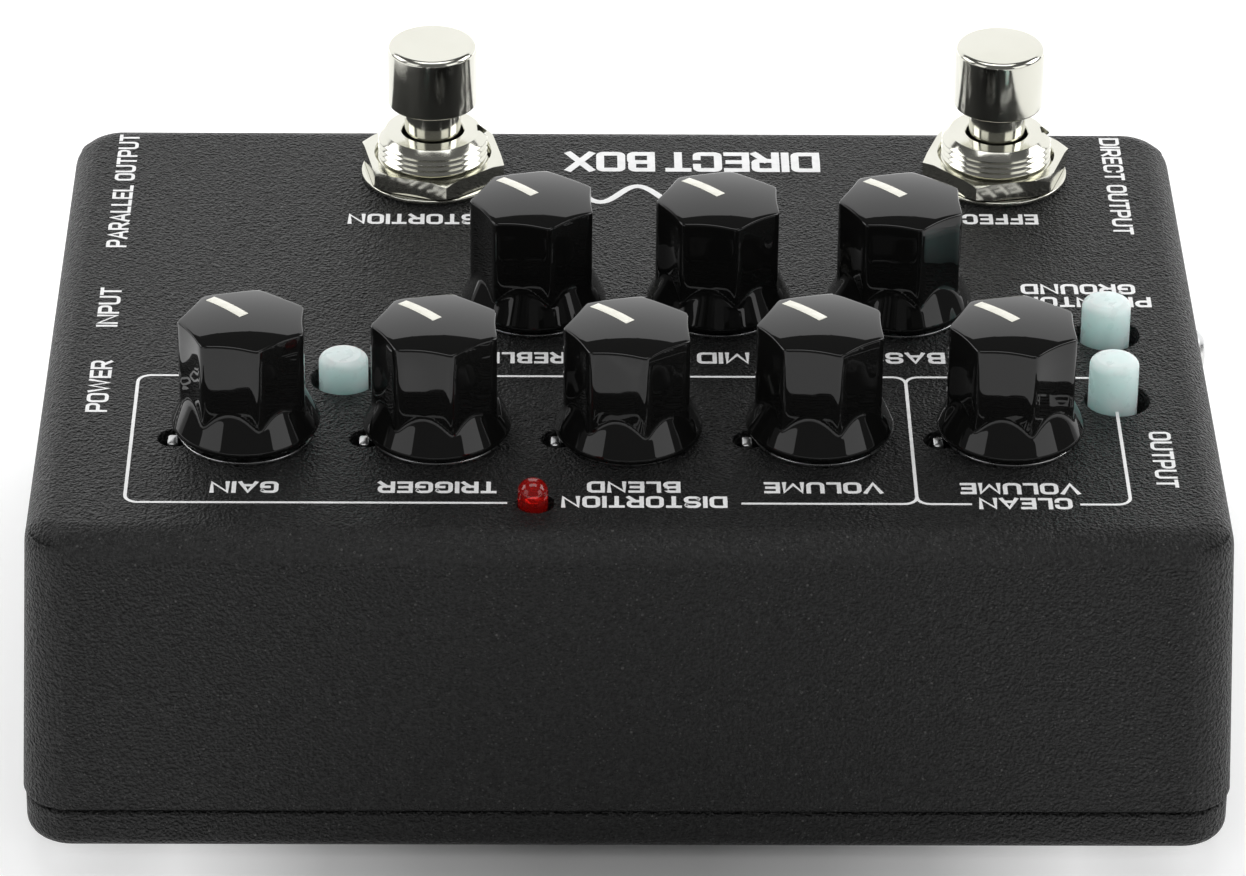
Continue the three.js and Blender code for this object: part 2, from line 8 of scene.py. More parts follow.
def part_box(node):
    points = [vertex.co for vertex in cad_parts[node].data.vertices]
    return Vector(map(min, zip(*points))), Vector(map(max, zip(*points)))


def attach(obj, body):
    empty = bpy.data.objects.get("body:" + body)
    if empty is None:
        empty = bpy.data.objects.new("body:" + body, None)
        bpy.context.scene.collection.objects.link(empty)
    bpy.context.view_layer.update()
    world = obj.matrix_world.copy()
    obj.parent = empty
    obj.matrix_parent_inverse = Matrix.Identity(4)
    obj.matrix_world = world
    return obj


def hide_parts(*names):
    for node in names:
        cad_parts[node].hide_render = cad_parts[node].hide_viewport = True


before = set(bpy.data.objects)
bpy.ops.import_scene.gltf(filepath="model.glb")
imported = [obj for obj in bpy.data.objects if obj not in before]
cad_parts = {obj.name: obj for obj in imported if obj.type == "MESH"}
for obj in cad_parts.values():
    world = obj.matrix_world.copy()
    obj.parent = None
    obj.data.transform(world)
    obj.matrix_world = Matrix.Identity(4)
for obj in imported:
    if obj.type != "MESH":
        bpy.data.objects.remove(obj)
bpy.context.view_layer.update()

MM = 0.001


# ---- places, in millimetres
def low(node):
    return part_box(node)[0] / MM


def high(node):
    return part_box(node)[1] / MM


def middle(node):
    return (low(node) + high(node)) / 2


KNOBS = ["gain", "trigger", "blend", "volume", "clean_volume", "treble", "mid", "bass"]
SWITCHES = ["distortion", "effect"]
BUTTONS = ["shape", "phantom", "ground"]
JACKS = ["input", "parallel_output", "output"]

PANEL = high("enclosure").z
SHELL_BOTTOM = low("enclosure").z
HALF_X = high("enclosure").x
HALF_Y = high("enclosure").y
LID_BOTTOM = low("bottom_plate").z
WALL = 2.3
PANEL_THICKNESS = 2.6
SIDE_DRAFT = 1.2
CORNER_RADIUS = 5
TOP_FILLET = 3


# ---- mesh helpers
AXIS = 0.01  # the radius at which a turned body is closed
CLEAR = 1  # how far a cutting body stands past what it cuts


def linked(name, data):
    """A new object in the scene."""
    piece = bpy.data.objects.new(name, data)
    bpy.context.scene.collection.objects.link(piece)
    return piece


def new_object(name, vertices, faces):
    """An object from vertices in millimetres, its faces turned outwards."""
    mesh = bpy.data.meshes.new(name)
    mesh.from_pydata([Vector(v) * MM for v in vertices], [], faces)
    shape = bmesh.new()
    shape.from_mesh(mesh)
    bmesh.ops.recalc_face_normals(shape, faces=shape.faces)
    shape.to_mesh(mesh)
    shape.free()
    return linked(name, mesh)


def skinned(name, rings):
    """Rings of points, all of one length, skinned into a closed body."""
    count = len(rings[0])
    vertices = [point for ring in rings for point in ring]
    faces = []
    for k in range(len(rings) - 1):
        for i in range(count):
            j = (i + 1) % count
            a, b = k * count, (k + 1) * count
            faces.append((a + i, a + j, b + j, b + i))
    for start in (0, (len(rings) - 1) * count):
        ring = vertices[start : start + count]
        centre = sum((Vector(p) for p in ring), Vector()) / count
        vertices.append(centre)
        hub = len(vertices) - 1
        faces += [(start + i, start + (i + 1) % count, hub) for i in range(count)]
    return new_object(name, vertices, faces)


def filleted(corners, steps):
    """The points of an open outline whose corners (x, y, radius) are rounded."""
    points = []
    for i, (x, y, radius) in enumerate(corners):
        here = Vector((x, y))
        if radius == 0 or i in (0, len(corners) - 1):
            points.append(here)
            continue
        before = (Vector(corners[i - 1][:2]) - here).normalized()
        after = (Vector(corners[i + 1][:2]) - here).normalized()
        half = before.angle(after) / 2
        centre = here + (before + after).normalized() * radius / math.sin(half)
        start = here + before * radius / math.tan(half) - centre
        end = here + after * radius / math.tan(half) - centre
        turn = start.angle_signed(end)
        for k in range(steps + 1):
            points.append(centre + Matrix.Rotation(-turn * k / steps, 2) @ start)
    return points


def turned(name, corners, place=(0, 0, 0), segments=64, steps=4):
    """A body of revolution about a vertical axis through place, from corners (radius, z, fillet)."""
    origin = Vector(place)
    angles = [2 * math.pi * i / segments for i in range(segments)]
    rings = []
    for radius, z in filleted(corners, steps):
        rings.append([origin + Vector((radius * math.cos(a), radius * math.sin(a), z)) for a in angles])
    return skinned(name, rings)


def quarter_turn(steps):
    """Pairs of 1 - cos and 1 - sin over a quarter turn, which round an edge."""
    angles = [k / steps * math.pi / 2 for k in range(steps + 1)]
    return [(1 - math.cos(angle), 1 - math.sin(angle)) for angle in angles]


def rounded_rectangle(half_x, half_y, radius, steps=12):
    points = []
    for corner, (sx, sy) in enumerate([(1, 1), (-1, 1), (-1, -1), (1, -1)]):
        for k in range(steps + 1):
            angle = (corner + k / steps) * math.pi / 2
            x = sx * (half_x - radius) + radius * math.cos(angle)
            y = sy * (half_y - radius) + radius * math.sin(angle)
            points.append((x, y))
    return points


def level(outline, z):
    return [(x, y, z) for x, y in outline]


def prism(name, outline, bottom, top):
    """A flat outline of (x, y) points made solid between two heights."""
    return skinned(name, [level(outline, z) for z in (bottom, top)])


def combine(piece, other, operation):
    """Cuts the other body from the piece, joins it on or keeps what they share, and uses it up."""
    step = piece.modifiers.new(operation, "BOOLEAN")
    step.operation = operation
    step.solver = "EXACT"
    step.object = other
    graph = bpy.context.evaluated_depsgraph_get()
    mesh = bpy.data.meshes.new_from_object(piece.evaluated_get(graph))
    piece.modifiers.clear()
    piece.data = mesh
    bpy.data.objects.remove(other)
    return piece


def one_object(name, parts):
    """Several separate bodies as one object."""
    shape = bmesh.new()
    for part in parts:
        part.data.transform(part.matrix_world)
        shape.from_mesh(part.data)
        bpy.data.objects.remove(part)
    mesh = bpy.data.meshes.new(name)
    shape.to_mesh(mesh)
    shape.free()
    return linked(name, mesh)


def swing(piece, degrees, axis="Z"):
    """Turns a mesh about an axis through the origin."""
    piece.data.transform(Matrix.Rotation(math.radians(degrees), 4, axis))
    return piece


def place_at(piece, spot):
    """Moves a mesh by (x, y, z) millimetres."""
    piece.data.transform(Matrix.Translation(Vector(spot) * MM))
    return piece


def dress(piece, material, body="chassis", stands_for=(), crease=35):
    """Gives a finished piece its material, shading and body."""
    piece.data.materials.clear()
    piece.data.materials.append(material)
    piece.data.shade_smooth()
    piece.data.set_sharp_from_angle(angle=math.radians(crease))
    if stands_for:
        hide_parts(*stands_for)
    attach(piece, body)
    return piece


# ---- materials
class Finish:
    """A node material: a Principled shader with procedural textures in object space."""

    def __init__(self, name, **inputs):
        self.material = bpy.data.materials.new(name)
        self.material.use_nodes = True
        self.nodes = self.material.node_tree.nodes
        self.links = self.material.node_tree.links
        self.shader = self.nodes["Principled BSDF"]
        self.space = self.nodes.new("ShaderNodeTexCoord").outputs["Object"]
        for key, value in inputs.items():
            self.shader.inputs[key.replace("_", " ")].default_value = value

    def noise(self, scale, detail=2, roughness=0.5):
        node = self.nodes.new("ShaderNodeTexNoise")
        node.inputs["Scale"].default_value = scale
        node.inputs["Detail"].default_value = detail
        node.inputs["Roughness"].default_value = roughness
        self.links.new(self.space, node.inputs["Vector"])
        return node.outputs["Fac"]

    def cells(self, scale, feature="F1", smoothness=None):
        node = self.nodes.new("ShaderNodeTexVoronoi")
        node.feature = feature
        node.inputs["Scale"].default_value = scale
        if smoothness is not None:
            node.inputs["Smoothness"].default_value = smoothness
        self.links.new(self.space, node.inputs["Vector"])
        return node.outputs["Distance"]

    def math(self, operation, a, b=0.0):
        node = self.nodes.new("ShaderNodeMath")
        node.operation = operation
        for socket, value in zip(node.inputs, (a, b)):
            if isinstance(value, (int, float)):
                socket.default_value = value
            else:
                self.links.new(value, socket)
        return node.outputs[0]

    def ramp(self, value, *stops):
        """A colour ramp with stops of (place, grey or colour)."""
        node = self.nodes.new("ShaderNodeValToRGB")
        elements = node.color_ramp.elements
        while len(elements) < len(stops):
            elements.new(0.5)
        for element, (place, colour) in zip(elements, stops):
            element.position = place
            rgb = (colour,) * 3 if isinstance(colour, (int, float)) else colour
            element.color = (*rgb, 1)
        self.links.new(value, node.inputs["Fac"])
        return node.outputs["Color"]

    def split(self, socket, axis):
        node = self.nodes.new("ShaderNodeSeparateXYZ")
        self.links.new(socket, node.inputs[0])
        return node.outputs[axis]

    def bump(self, height, depth):
        """Surface relief: height runs from 0 to 1 over a depth in millimetres."""
        node = self.nodes.new("ShaderNodeBump")
        node.inputs["Distance"].default_value = depth * MM
        self.links.new(height, node.inputs["Height"])
        self.links.new(node.outputs["Normal"], self.shader.inputs["Normal"])

    def specks(self, scale, size, patch_scale, bare_below):
        """1 in a dot at each cell's middle where a patchy noise is high enough, and 0 elsewhere."""
        return self.math("MULTIPLY", self.math("LESS_THAN", self.cells(scale), size),
                         self.math("GREATER_THAN", self.noise(patch_scale, detail=0), bare_below))

    def blend(self, share, first, second):
        """The first colour, turning into the second as share goes from 0 to 1."""
        node = self.nodes.new("ShaderNodeMix")
        node.data_type = "RGBA"
        self.links.new(share, node.inputs["Factor"])
        self.links.new(first, node.inputs["A"])
        node.inputs["B"].default_value = (*second, 1)
        return node.outputs["Result"]

    def drive(self, key, value):
        self.links.new(value, self.shader.inputs[key])

    def mottle(self, key, scale, detail, low, high):
        """Drives a shader input by noise, from one (place, grey or colour) to another."""
        self.drive(key, self.ramp(self.noise(scale, detail), low, high))


def grey(value):
    return (value, value, value, 1)


def powder_coat():
    """Black grain over soft pits, with sparse dust, and finer pale specks that are painted highlights."""
    look = Finish("powder_coat", Specular_IOR_Level=0.42)
    grain = look.noise(2900, detail=2, roughness=0.55)
    pits = look.cells(3300, feature="SMOOTH_F1", smoothness=0.6)
    height = look.math("ADD", look.math("MULTIPLY", grain, 0.8), look.math("MULTIPLY", pits, 0.35))
    look.bump(height, 5.0)
    dust = look.specks(760, 0.10, 420, 0.53)
    # Painted highlights: fine pale specks in the base colour stand in for the coat's sparkle.
    painted_glints = look.specks(1900, 0.17, 700, 0.46)
    base = look.ramp(grain, (0.36, (0.0045, 0.0046, 0.0045)), (0.64, (0.028, 0.0288, 0.0284)))
    speckled = look.blend(painted_glints, base, (0.09, 0.09, 0.088))
    look.drive("Base Color", look.blend(dust, speckled, (0.12, 0.12, 0.115)))
    look.drive("Roughness", look.ramp(grain, (0.3, 0.48), (0.7, 0.36)))
    return look.material


def finish(name, base=None, rough=None, relief=None, **inputs):
    """A material whose colour, roughness and relief follow noise.

    base and rough are (scale, detail, low stop, high stop), relief is (scale, detail, depth in mm).
    """
    look = Finish(name, **inputs)
    if base:
        look.mottle("Base Color", *base)
    if rough:
        look.mottle("Roughness", *rough)
    if relief:
        scale, detail, depth = relief
        look.bump(look.noise(scale, detail), depth)
    return look.material


def aqua_plastic():
    """Milky acrylic, its colour painted a little lighter near the panel and darker at the top to even out
    its shading, by height over a span in millimetres.
    """
    look = Finish("aqua_plastic", Subsurface_Weight=0.95, Subsurface_Scale=0.012, IOR=1.45)
    look.shader.inputs["Subsurface Radius"].default_value = (0.6, 0.9, 0.85)
    span = 50
    rise = look.math("MULTIPLY", look.split(look.space, "Z"), 1 / (span * MM))
    # Painted light and shade: lighter low on the cap, where it is shaded, and darker at the top, where it is
    # lit.
    look.drive("Base Color", look.ramp(rise,
                                       ((PANEL + 1) / span, (0.64, 0.87, 0.83)),
                                       ((PANEL + 3.6) / span, (0.64, 0.84, 0.79))))
    look.mottle("Roughness", 800, 4, (0.3, 0.26), (0.7, 0.31))
    look.bump(look.noise(900, detail=3), 0.006)
    return look.material


def board():
    look = Finish("board")
    look.drive("Base Color", look.ramp(look.cells(260), (0.2, (0.01, 0.07, 0.03)),
                                       (0.6, (0.02, 0.13, 0.05))))
    look.mottle("Roughness", 400, 2, (0.3, 0.3), (0.7, 0.45))
    return look.material


POWDER = powder_coat()
PHENOLIC = finish("phenolic", None, (500, 5, (0.35, 0.012), (0.75, 0.04)), (220, 2, 0.005),
                  Base_Color=(0.005, 0.005, 0.0048, 1), IOR=1.46)
PRINT = finish("white_print", (1200, 3, (0.3, 0.80), (0.6, 0.88)), (900, 2, (0.3, 0.45), (0.7, 0.6)),
               (1500, 2, 0.02))
POINTER = finish("pointer_paint", (800, 3, (0.3, (0.78, 0.77, 0.68)), (0.7, (0.9, 0.89, 0.8))),
                 relief=(900, 2, 0.01), Roughness=0.4)
NICKEL = finish("nickel", (150, 4, (0.3, (0.675, 0.67, 0.595)), (0.7, (0.715, 0.71, 0.64))),
                (700, 6, (0.35, 0.10), (0.75, 0.19)), (260, 3, 0.006), Metallic=1.0)
ZINC = finish("zinc", (400, 4, (0.3, (0.56, 0.57, 0.58)), (0.7, (0.7, 0.7, 0.69))),
              (900, 5, (0.3, 0.2), (0.75, 0.4)), (1600, 3, 0.01), Metallic=1.0)
GOLD = finish("contact_gold", None, (900, 4, (0.3, 0.12), (0.7, 0.28)), None, Metallic=1.0,
              Base_Color=(0.83, 0.62, 0.26, 1))
RUBBER = finish("foot_rubber", (700, 5, (0.3, 0.010), (0.7, 0.024)), (500, 3, (0.3, 0.62), (0.7, 0.85)),
                (2500, 3, 0.03), Specular_IOR_Level=0.3)
PLASTIC = finish("black_plastic", (300, 4, (0.3, 0.009), (0.7, 0.015)), (900, 3, (0.3, 0.32), (0.7, 0.5)),
                 (3200, 2, 0.01))
AQUA = aqua_plastic()
LENS = finish("red_lens", None, (700, 2, (0.3, 0.02), (0.7, 0.06)), (300, 2, 0.01),
              Base_Color=(0.75, 0.012, 0.008, 1), IOR=1.52, Transmission_Weight=0.75)
BOARD = board()
WRAP = finish("battery_wrap", (90, 4, (0.3, (0.04, 0.05, 0.07)), (0.7, (0.07, 0.08, 0.1))),
              (500, 3, (0.3, 0.25), (0.7, 0.4)), Metallic=0.4)


# ---- case
def draft_at(z):
    return SIDE_DRAFT * (z - SHELL_BOTTOM) / (PANEL - SHELL_BOTTOM)


def drafted(inset, z, radius):
    moved = inset + draft_at(z)
    return level(rounded_rectangle(HALF_X - moved, HALF_Y - moved, radius), z)


def shell_outside():
    """The cast box, its lower edge softened and its upper edge rounded."""
    edge = 0.35
    soft = edge * 0.3
    rings = [drafted(edge, SHELL_BOTTOM, CORNER_RADIUS - edge)]
    rings.append(drafted(soft, SHELL_BOTTOM + soft, CORNER_RADIUS - soft))
    rings.append(drafted(0, SHELL_BOTTOM + edge, CORNER_RADIUS))
    for inwards, down in quarter_turn(10):
        inset = TOP_FILLET * inwards
        rings.append(drafted(inset, PANEL - TOP_FILLET * down, CORNER_RADIUS - inset))
    return skinned("enclosure_shell", rings)


def shell_inside():
    radius = CORNER_RADIUS - WALL
    top = PANEL - PANEL_THICKNESS
    return skinned("inside", [drafted(WALL, z, radius) for z in (SHELL_BOTTOM - CLEAR, top)])


def panel_hole(x, y, radius):
    """A drill for a hole in the panel, flared a little at the top for the softened paint edge."""
    edge = 0.18
    bottom = PANEL - PANEL_THICKNESS - CLEAR
    soft = edge * 0.3
    corners = [(radius, bottom, 0), (radius, PANEL - edge, 0), (radius + soft, PANEL - soft, 0),
               (radius + edge, PANEL, 0), (radius + edge + CLEAR, PANEL + CLEAR, 0)]
    return turned("drill", corners, (x, y, 0), segments=56)


def wall_hole(x, y, z, radius, segments=56):
    """A drill along X through the side wall whose outer face is at x."""
    side = math.copysign(1, x)
    drill = turned("drill", [(radius, -2 * WALL, 0), (radius, 2 * CLEAR, 0)], segments=segments)
    return place_at(swing(drill, 90 * side, "Y"), (x, y, z))


KNOB_PLACES = {name: middle(f"pot_shaft_{name}") for name in KNOBS}
SWITCH_PLACES = {name: middle(f"stomp_button_{name}") for name in SWITCHES}
BUTTON_PLACES = {name: middle(f"push_button_{name}") for name in BUTTONS}
LED = middle("status_led")
LED_HOLE_SHIFT = -0.24
TAB = Vector((7.1, 1.3, 0))
TAB_HOLE = 1.6
TAB_SHIFT = 0.15
BUSHING_HOLE = 4.2
BUTTON_HOLE = 3.3
BUTTON_HOLE_X = {"shape": BUTTON_PLACES["shape"].x, "phantom": -49.3, "ground": -49.3}
SWITCH_HOLE = 6.2
LED_HOLE = 1.85
JACK_HOLE = 5.5
SUPPLY_HOLE = 4.2
XLR_HOLE = 9.3
SCREW_HOLE = 1.5
BOSS = 3.4
BOSS_FILLET = 0.2
SCREW_CLEARANCE = 1.8
SCREW_HOLE_TOP = 22
JACK_Z = middle("jack_input").z


def face_x(side, z):
    """The x of the outer face of a side wall at height z."""
    return side * (HALF_X - draft_at(z))


def jack_place(name):
    centre = middle(f"jack_{name}")
    return Vector((face_x(math.copysign(1, centre.x), JACK_Z), centre.y, JACK_Z))


SUPPLY = Vector((face_x(1, JACK_Z), middle("supply_socket").y, JACK_Z))
XLR_BODY_Y = 0.6
XLR_BODY_LOW = 9.6
XLR = Vector((0, middle("xlr_socket").y - XLR_BODY_Y, low("xlr_socket").z + XLR_BODY_LOW))
XLR.x = face_x(-1, XLR.z)
XLR_SCREWS = [middle(f"xlr_screw_{i}") for i in (1, 2)]
BOSSES = [middle(f"lid_screw_{i}") for i in range(1, 5)]


def at_bosses(name, corners, segments=64):
    """The same body of revolution at each lid screw."""
    return [turned(name, corners, (b.x, b.y, 0), segments) for b in BOSSES]


def enclosure():
    shell = combine(shell_outside(), shell_inside(), "DIFFERENCE")
    bosses = at_bosses("boss", [(BOSS, SHELL_BOTTOM, BOSS_FILLET), (BOSS, PANEL - 1.5, 0)], 32)
    combine(shell, one_object("bosses", bosses), "UNION")
    drills = [panel_hole(p.x, p.y, BUSHING_HOLE) for p in KNOB_PLACES.values()]
    drills += [panel_hole(p.x + TAB.x, p.y + TAB.y, TAB_HOLE) for p in KNOB_PLACES.values()]
    drills += [panel_hole(BUTTON_HOLE_X[n], p.y, BUTTON_HOLE) for n, p in BUTTON_PLACES.items()]
    drills += [panel_hole(p.x, p.y, SWITCH_HOLE) for p in SWITCH_PLACES.values()]
    drills.append(panel_hole(LED.x + LED_HOLE_SHIFT, LED.y, LED_HOLE))
    drills += [wall_hole(*jack_place(name), JACK_HOLE) for name in JACKS]
    drills.append(wall_hole(*SUPPLY, SUPPLY_HOLE))
    drills.append(wall_hole(*XLR, XLR_HOLE))
    drills += [wall_hole(face_x(-1, s.z), s.y, s.z, SCREW_HOLE, 32) for s in XLR_SCREWS]
    drills += at_bosses("drill", [(SCREW_CLEARANCE, SHELL_BOTTOM - CLEAR, 0),
                                  (SCREW_CLEARANCE, SCREW_HOLE_TOP, 0)], 32)
    combine(shell, one_object("drills", drills), "DIFFERENCE")
    shell.modifiers.new("flat faces", "WEIGHTED_NORMAL").keep_sharp = True
    dress(shell, POWDER, stands_for=["enclosure"], crease=30)


enclosure()


# ---- knobs
RIDGES = 7
RING_POINTS = RIDGES * 20
FACE_RADIUS = 5.97
FACE_HOLLOW = 0.16
RIDGE_RADIUS = 6.6
RIDGE_BLEND = 0.3
KNOB_RIM = 12
KNOB_DOME = 12.7
KNOB_EDGE = 0.2
SKIRT_RADIUS = 7.4
SKIRT_BOTTOM = 0.35
SKIRT_EDGE = 0.6
SKIRT_TOP = 4.8
SKIRT_TAPER = 0.472
SKIRT_BLEND = 0.15
SHAFT_BORE = 3.1
SHAFT_BORE_TOP = 9.7
NUT_HOLLOW = 4.2
NUT_HOLLOW_TOP = 5.2
HOLLOW_RADIUS = 6.05
HOLLOW_TOP = 2.7
KNOB_SWEEP = 280
POINTER_TURN = 270 + (360 - KNOB_SWEEP) / 2
POINTER_START = -0.1
POINTER_END = 5.4
POINTER_WIDTH = 1.1
POINTER_ROOT = 0.1
POINTER_RISE = 0.035
POINTER_EDGE = 0.015


def soft_least(a, b, blend):
    """The smaller of two values, rounded where they meet."""
    nearness = max(blend - abs(a - b), 0) / blend
    return min(a, b) - nearness * nearness * blend / 4


def knob_radius(angle):
    """The outline: a heptagon of slightly hollow faces whose ridges are rounded off."""
    half = math.pi / RIDGES
    from_middle = half - abs(angle - round(angle / half / 2) * half * 2)
    face = FACE_RADIUS / math.cos(from_middle) - FACE_HOLLOW * (1 - (from_middle / half) ** 2)
    return soft_least(face, RIDGE_RADIUS, RIDGE_BLEND)


def dome_height(radius):
    return KNOB_DOME - (KNOB_DOME - KNOB_RIM) * (radius / RIDGE_RADIUS) ** 2


def knob_ring(radius_at, height_at):
    """A ring of the knob, its radius and height given by functions of angle and of radius."""
    ring = []
    for i in range(RING_POINTS):
        angle = 2 * math.pi * i / RING_POINTS
        radius = radius_at(angle)
        turn = angle + math.radians(POINTER_TURN)
        ring.append((radius * math.cos(turn), radius * math.sin(turn), height_at(radius)))
    return ring


def round_ring(radius, z):
    return knob_ring(lambda angle: radius, lambda r: z)


def skirt_ring(z):
    """The outline at height z, where the tapered skirt runs out into the flat faces."""
    skirt = SKIRT_RADIUS - SKIRT_TAPER * (z - SKIRT_BOTTOM - SKIRT_EDGE)
    return knob_ring(lambda angle: -soft_least(-knob_radius(angle), -skirt, SKIRT_BLEND), lambda r: z)


def dome_ring(drop, inset, scale=1.0):
    """The outline brought in by an inset and a scale, laid on the dome less a drop."""
    return knob_ring(lambda angle: (knob_radius(angle) - inset) * scale, lambda r: dome_height(r) - drop)


def knob_mesh(name):
    """The knob from the top of its shaft's bore, out through the hollow, and over the outside."""
    hollow = ((SHAFT_BORE, SHAFT_BORE_TOP), (SHAFT_BORE, NUT_HOLLOW_TOP), (NUT_HOLLOW, NUT_HOLLOW_TOP),
              (NUT_HOLLOW, HOLLOW_TOP), (HOLLOW_RADIUS, HOLLOW_TOP), (HOLLOW_RADIUS, SKIRT_BOTTOM))
    rings = [round_ring(radius, z) for radius, z in hollow]
    for up, inwards in quarter_turn(6)[:-1]:
        rings.append(round_ring(SKIRT_RADIUS - SKIRT_EDGE * inwards, SKIRT_BOTTOM + SKIRT_EDGE * up))
    steps = 15
    foot = SKIRT_BOTTOM + SKIRT_EDGE
    rings += [skirt_ring(foot + (SKIRT_TOP - foot) * k / steps) for k in range(steps + 1)]
    rings.append(knob_ring(knob_radius, lambda r: KNOB_RIM - 2))
    rings += [dome_ring(KNOB_EDGE * drop, KNOB_EDGE * inset) for inset, drop in quarter_turn(4)]
    rings += [dome_ring(0, KNOB_EDGE, scale) for scale in (0.94, 0.86, 0.75, 0.62, 0.48, 0.34, 0.2, 0.08)]
    return skinned(name, rings)


def pointer_mesh(name):
    """The painted line, following the dome from near its middle to just short of a ridge."""
    half = POINTER_WIDTH / 2
    flat = half - 0.05
    section = [(-half, -POINTER_ROOT), (half, -POINTER_ROOT), (half, POINTER_EDGE), (flat, POINTER_RISE),
               (-flat, POINTER_RISE), (-half, POINTER_EDGE)]
    rings = []
    steps = 12
    for k in range(steps + 1):
        radius = POINTER_START + (POINTER_END - POINTER_START) * k / steps
        z = dome_height(radius)
        rings.append([(radius, across, z + rise) for across, rise in section])
    piece = skinned(name, rings)
    return swing(piece, POINTER_TURN)


for name, centre in KNOB_PLACES.items():
    lift = high(f"knob_{name}").z - PANEL - KNOB_DOME
    seat = (centre.x, centre.y, PANEL + lift)
    body = f"{name}_knob"
    knob = place_at(knob_mesh(f"fluted_knob_{name}"), seat)
    dress(knob, PHENOLIC, body, stands_for=[f"knob_{name}"], crease=50)
    pointer = place_at(pointer_mesh(f"pointer_line_{name}"), seat)
    dress(pointer, POINTER, body)


# ---- potentiometers
def hexagon_nut(name, across_flats, bottom, top, bore, chamfer, turn):
    """A hexagon nut with both ends chamfered on a cone."""
    corner = across_flats / math.sqrt(3)
    cone = turned("cone", [(corner - 2.2 * chamfer, bottom, 0), (corner + 0.01, bottom + chamfer, 0),
                           (corner + 0.01, top - chamfer, 0), (corner - 2.2 * chamfer, top, 0)],
                  segments=96)
    angles = [math.radians(turn + 60 * k) for k in range(6)]
    outline = [(corner * math.cos(angle), corner * math.sin(angle)) for angle in angles]
    nut = combine(prism(name, outline, bottom, top), cone, "INTERSECT")
    flare = 0.35
    mouth = bore + flare
    hole = turned("hole", [(mouth, bottom - 0.5, 0), (mouth, bottom, 0), (bore, bottom + flare, 0),
                           (bore, top - flare, 0), (mouth, top, 0), (mouth, top + 0.5, 0)])
    return combine(nut, hole, "DIFFERENCE")


def threads(radius, bottom, top, pitch, depth):
    """Profile corners of a threaded stretch, as a stack of rounded rings."""
    count = max(1, round((top - bottom) / pitch))
    step = (top - bottom) / count
    corners = []
    for k in range(count):
        z = bottom + k * step
        corners.append((radius - depth, z + 0.02, 0))
        corners.append((radius, z + step * 0.5, min(0.08, step * 0.15)))
    corners.append((radius - depth, top, 0))
    return corners


# Potentiometers, footswitches, buttons and LED are made with the panel's top at z = 0. BACK is just
# under its lower face.
BOARD_TOP = high("main_board").z - PANEL
BACK = -PANEL_THICKNESS - 0.1
POT_CAN = 8.1
POT_BUSHING = 3.9
POT_BORE = 3.3
POT_WASHER = 6.7
POT_WASHER_LOW = 0.04
POT_WASHER_TOP = 0.3
POT_NUT_TOP = 2.3
POT_NUT_FLATS = 10
POT_NUT_TURN = 17


def pot_body(name):
    """The can, threaded bushing and dress washer of a potentiometer, bored for its shaft."""
    floor = BOARD_TOP + 0.1
    corners = [(AXIS, floor, 0), (POT_CAN, floor, 0.4), (POT_CAN, BACK, 0.6), (POT_BUSHING, BACK, 0),
               (POT_BUSHING, POT_WASHER_LOW, 0), (POT_WASHER, POT_WASHER_LOW, 0.05),
               (POT_WASHER, POT_WASHER_TOP, 0.08), (POT_BUSHING, POT_WASHER_TOP, 0)]
    corners += threads(POT_BUSHING, POT_NUT_TOP, 4.35, 0.5, 0.22)
    corners += [(POT_BORE + 0.1, 4.6, 0), (POT_BORE, 4.55, 0), (POT_BORE, floor + 2, 0),
                (AXIS, floor + 2, 0)]
    return turned(name, corners, segments=56, steps=3)


def pot_tab(name):
    """The locating tab that stands in its own hole, rounded at the top."""
    outline = rounded_rectangle(0.52, 1.0, 0.35, 4)
    rings = []
    for z, scale in ((-3.2, 1), (-0.4, 1), (-0.2, 0.93), (-0.12, 0.75)):
        rings.append([(TAB.x + TAB_SHIFT + x * scale, TAB.y + y * scale, z) for x, y in outline])
    return skinned(name, rings)


for name, centre in KNOB_PLACES.items():
    seat = (centre.x, centre.y, PANEL)
    body = place_at(pot_body(f"pot_body_{name}"), seat)
    dress(body, ZINC, stands_for=[f"potentiometer_{name}"])
    nut = hexagon_nut(f"pot_nut_{name}", POT_NUT_FLATS, POT_WASHER_TOP + 0.02, POT_NUT_TOP,
                      POT_BUSHING + 0.02, 0.2, POT_NUT_TURN)
    dress(place_at(nut, seat), ZINC, crease=30)
    tab = place_at(pot_tab(f"pot_tab_{name}"), seat)
    dress(tab, ZINC)


# ---- footswitches
BUSHING_TOP = 5.25
BUSHING_RADIUS = 5.9
SWITCH_CAN = 6.7
SWITCH_BOTTOM = -10.1
BORE = 3.3
BORE_BOTTOM = -9.2
KEYWAY_HALF = 0.7
KEYWAY_DEPTH = 4.75
KEYWAY_TURN = 4
WASHER_RADIUS = 7.65
WASHER_LOW = 0.1
WASHER_TOP = 0.55
NUT_FLATS = 14
NUT_LOW = 0.65
NUT_TOP = 2.6
NUT_TURN = {"distortion": 41, "effect": 12}
CAP_RADIUS = 4.75
CAP_HEIGHT = 6.85
NECK = 3.0
NECK_LENGTH = 14.4


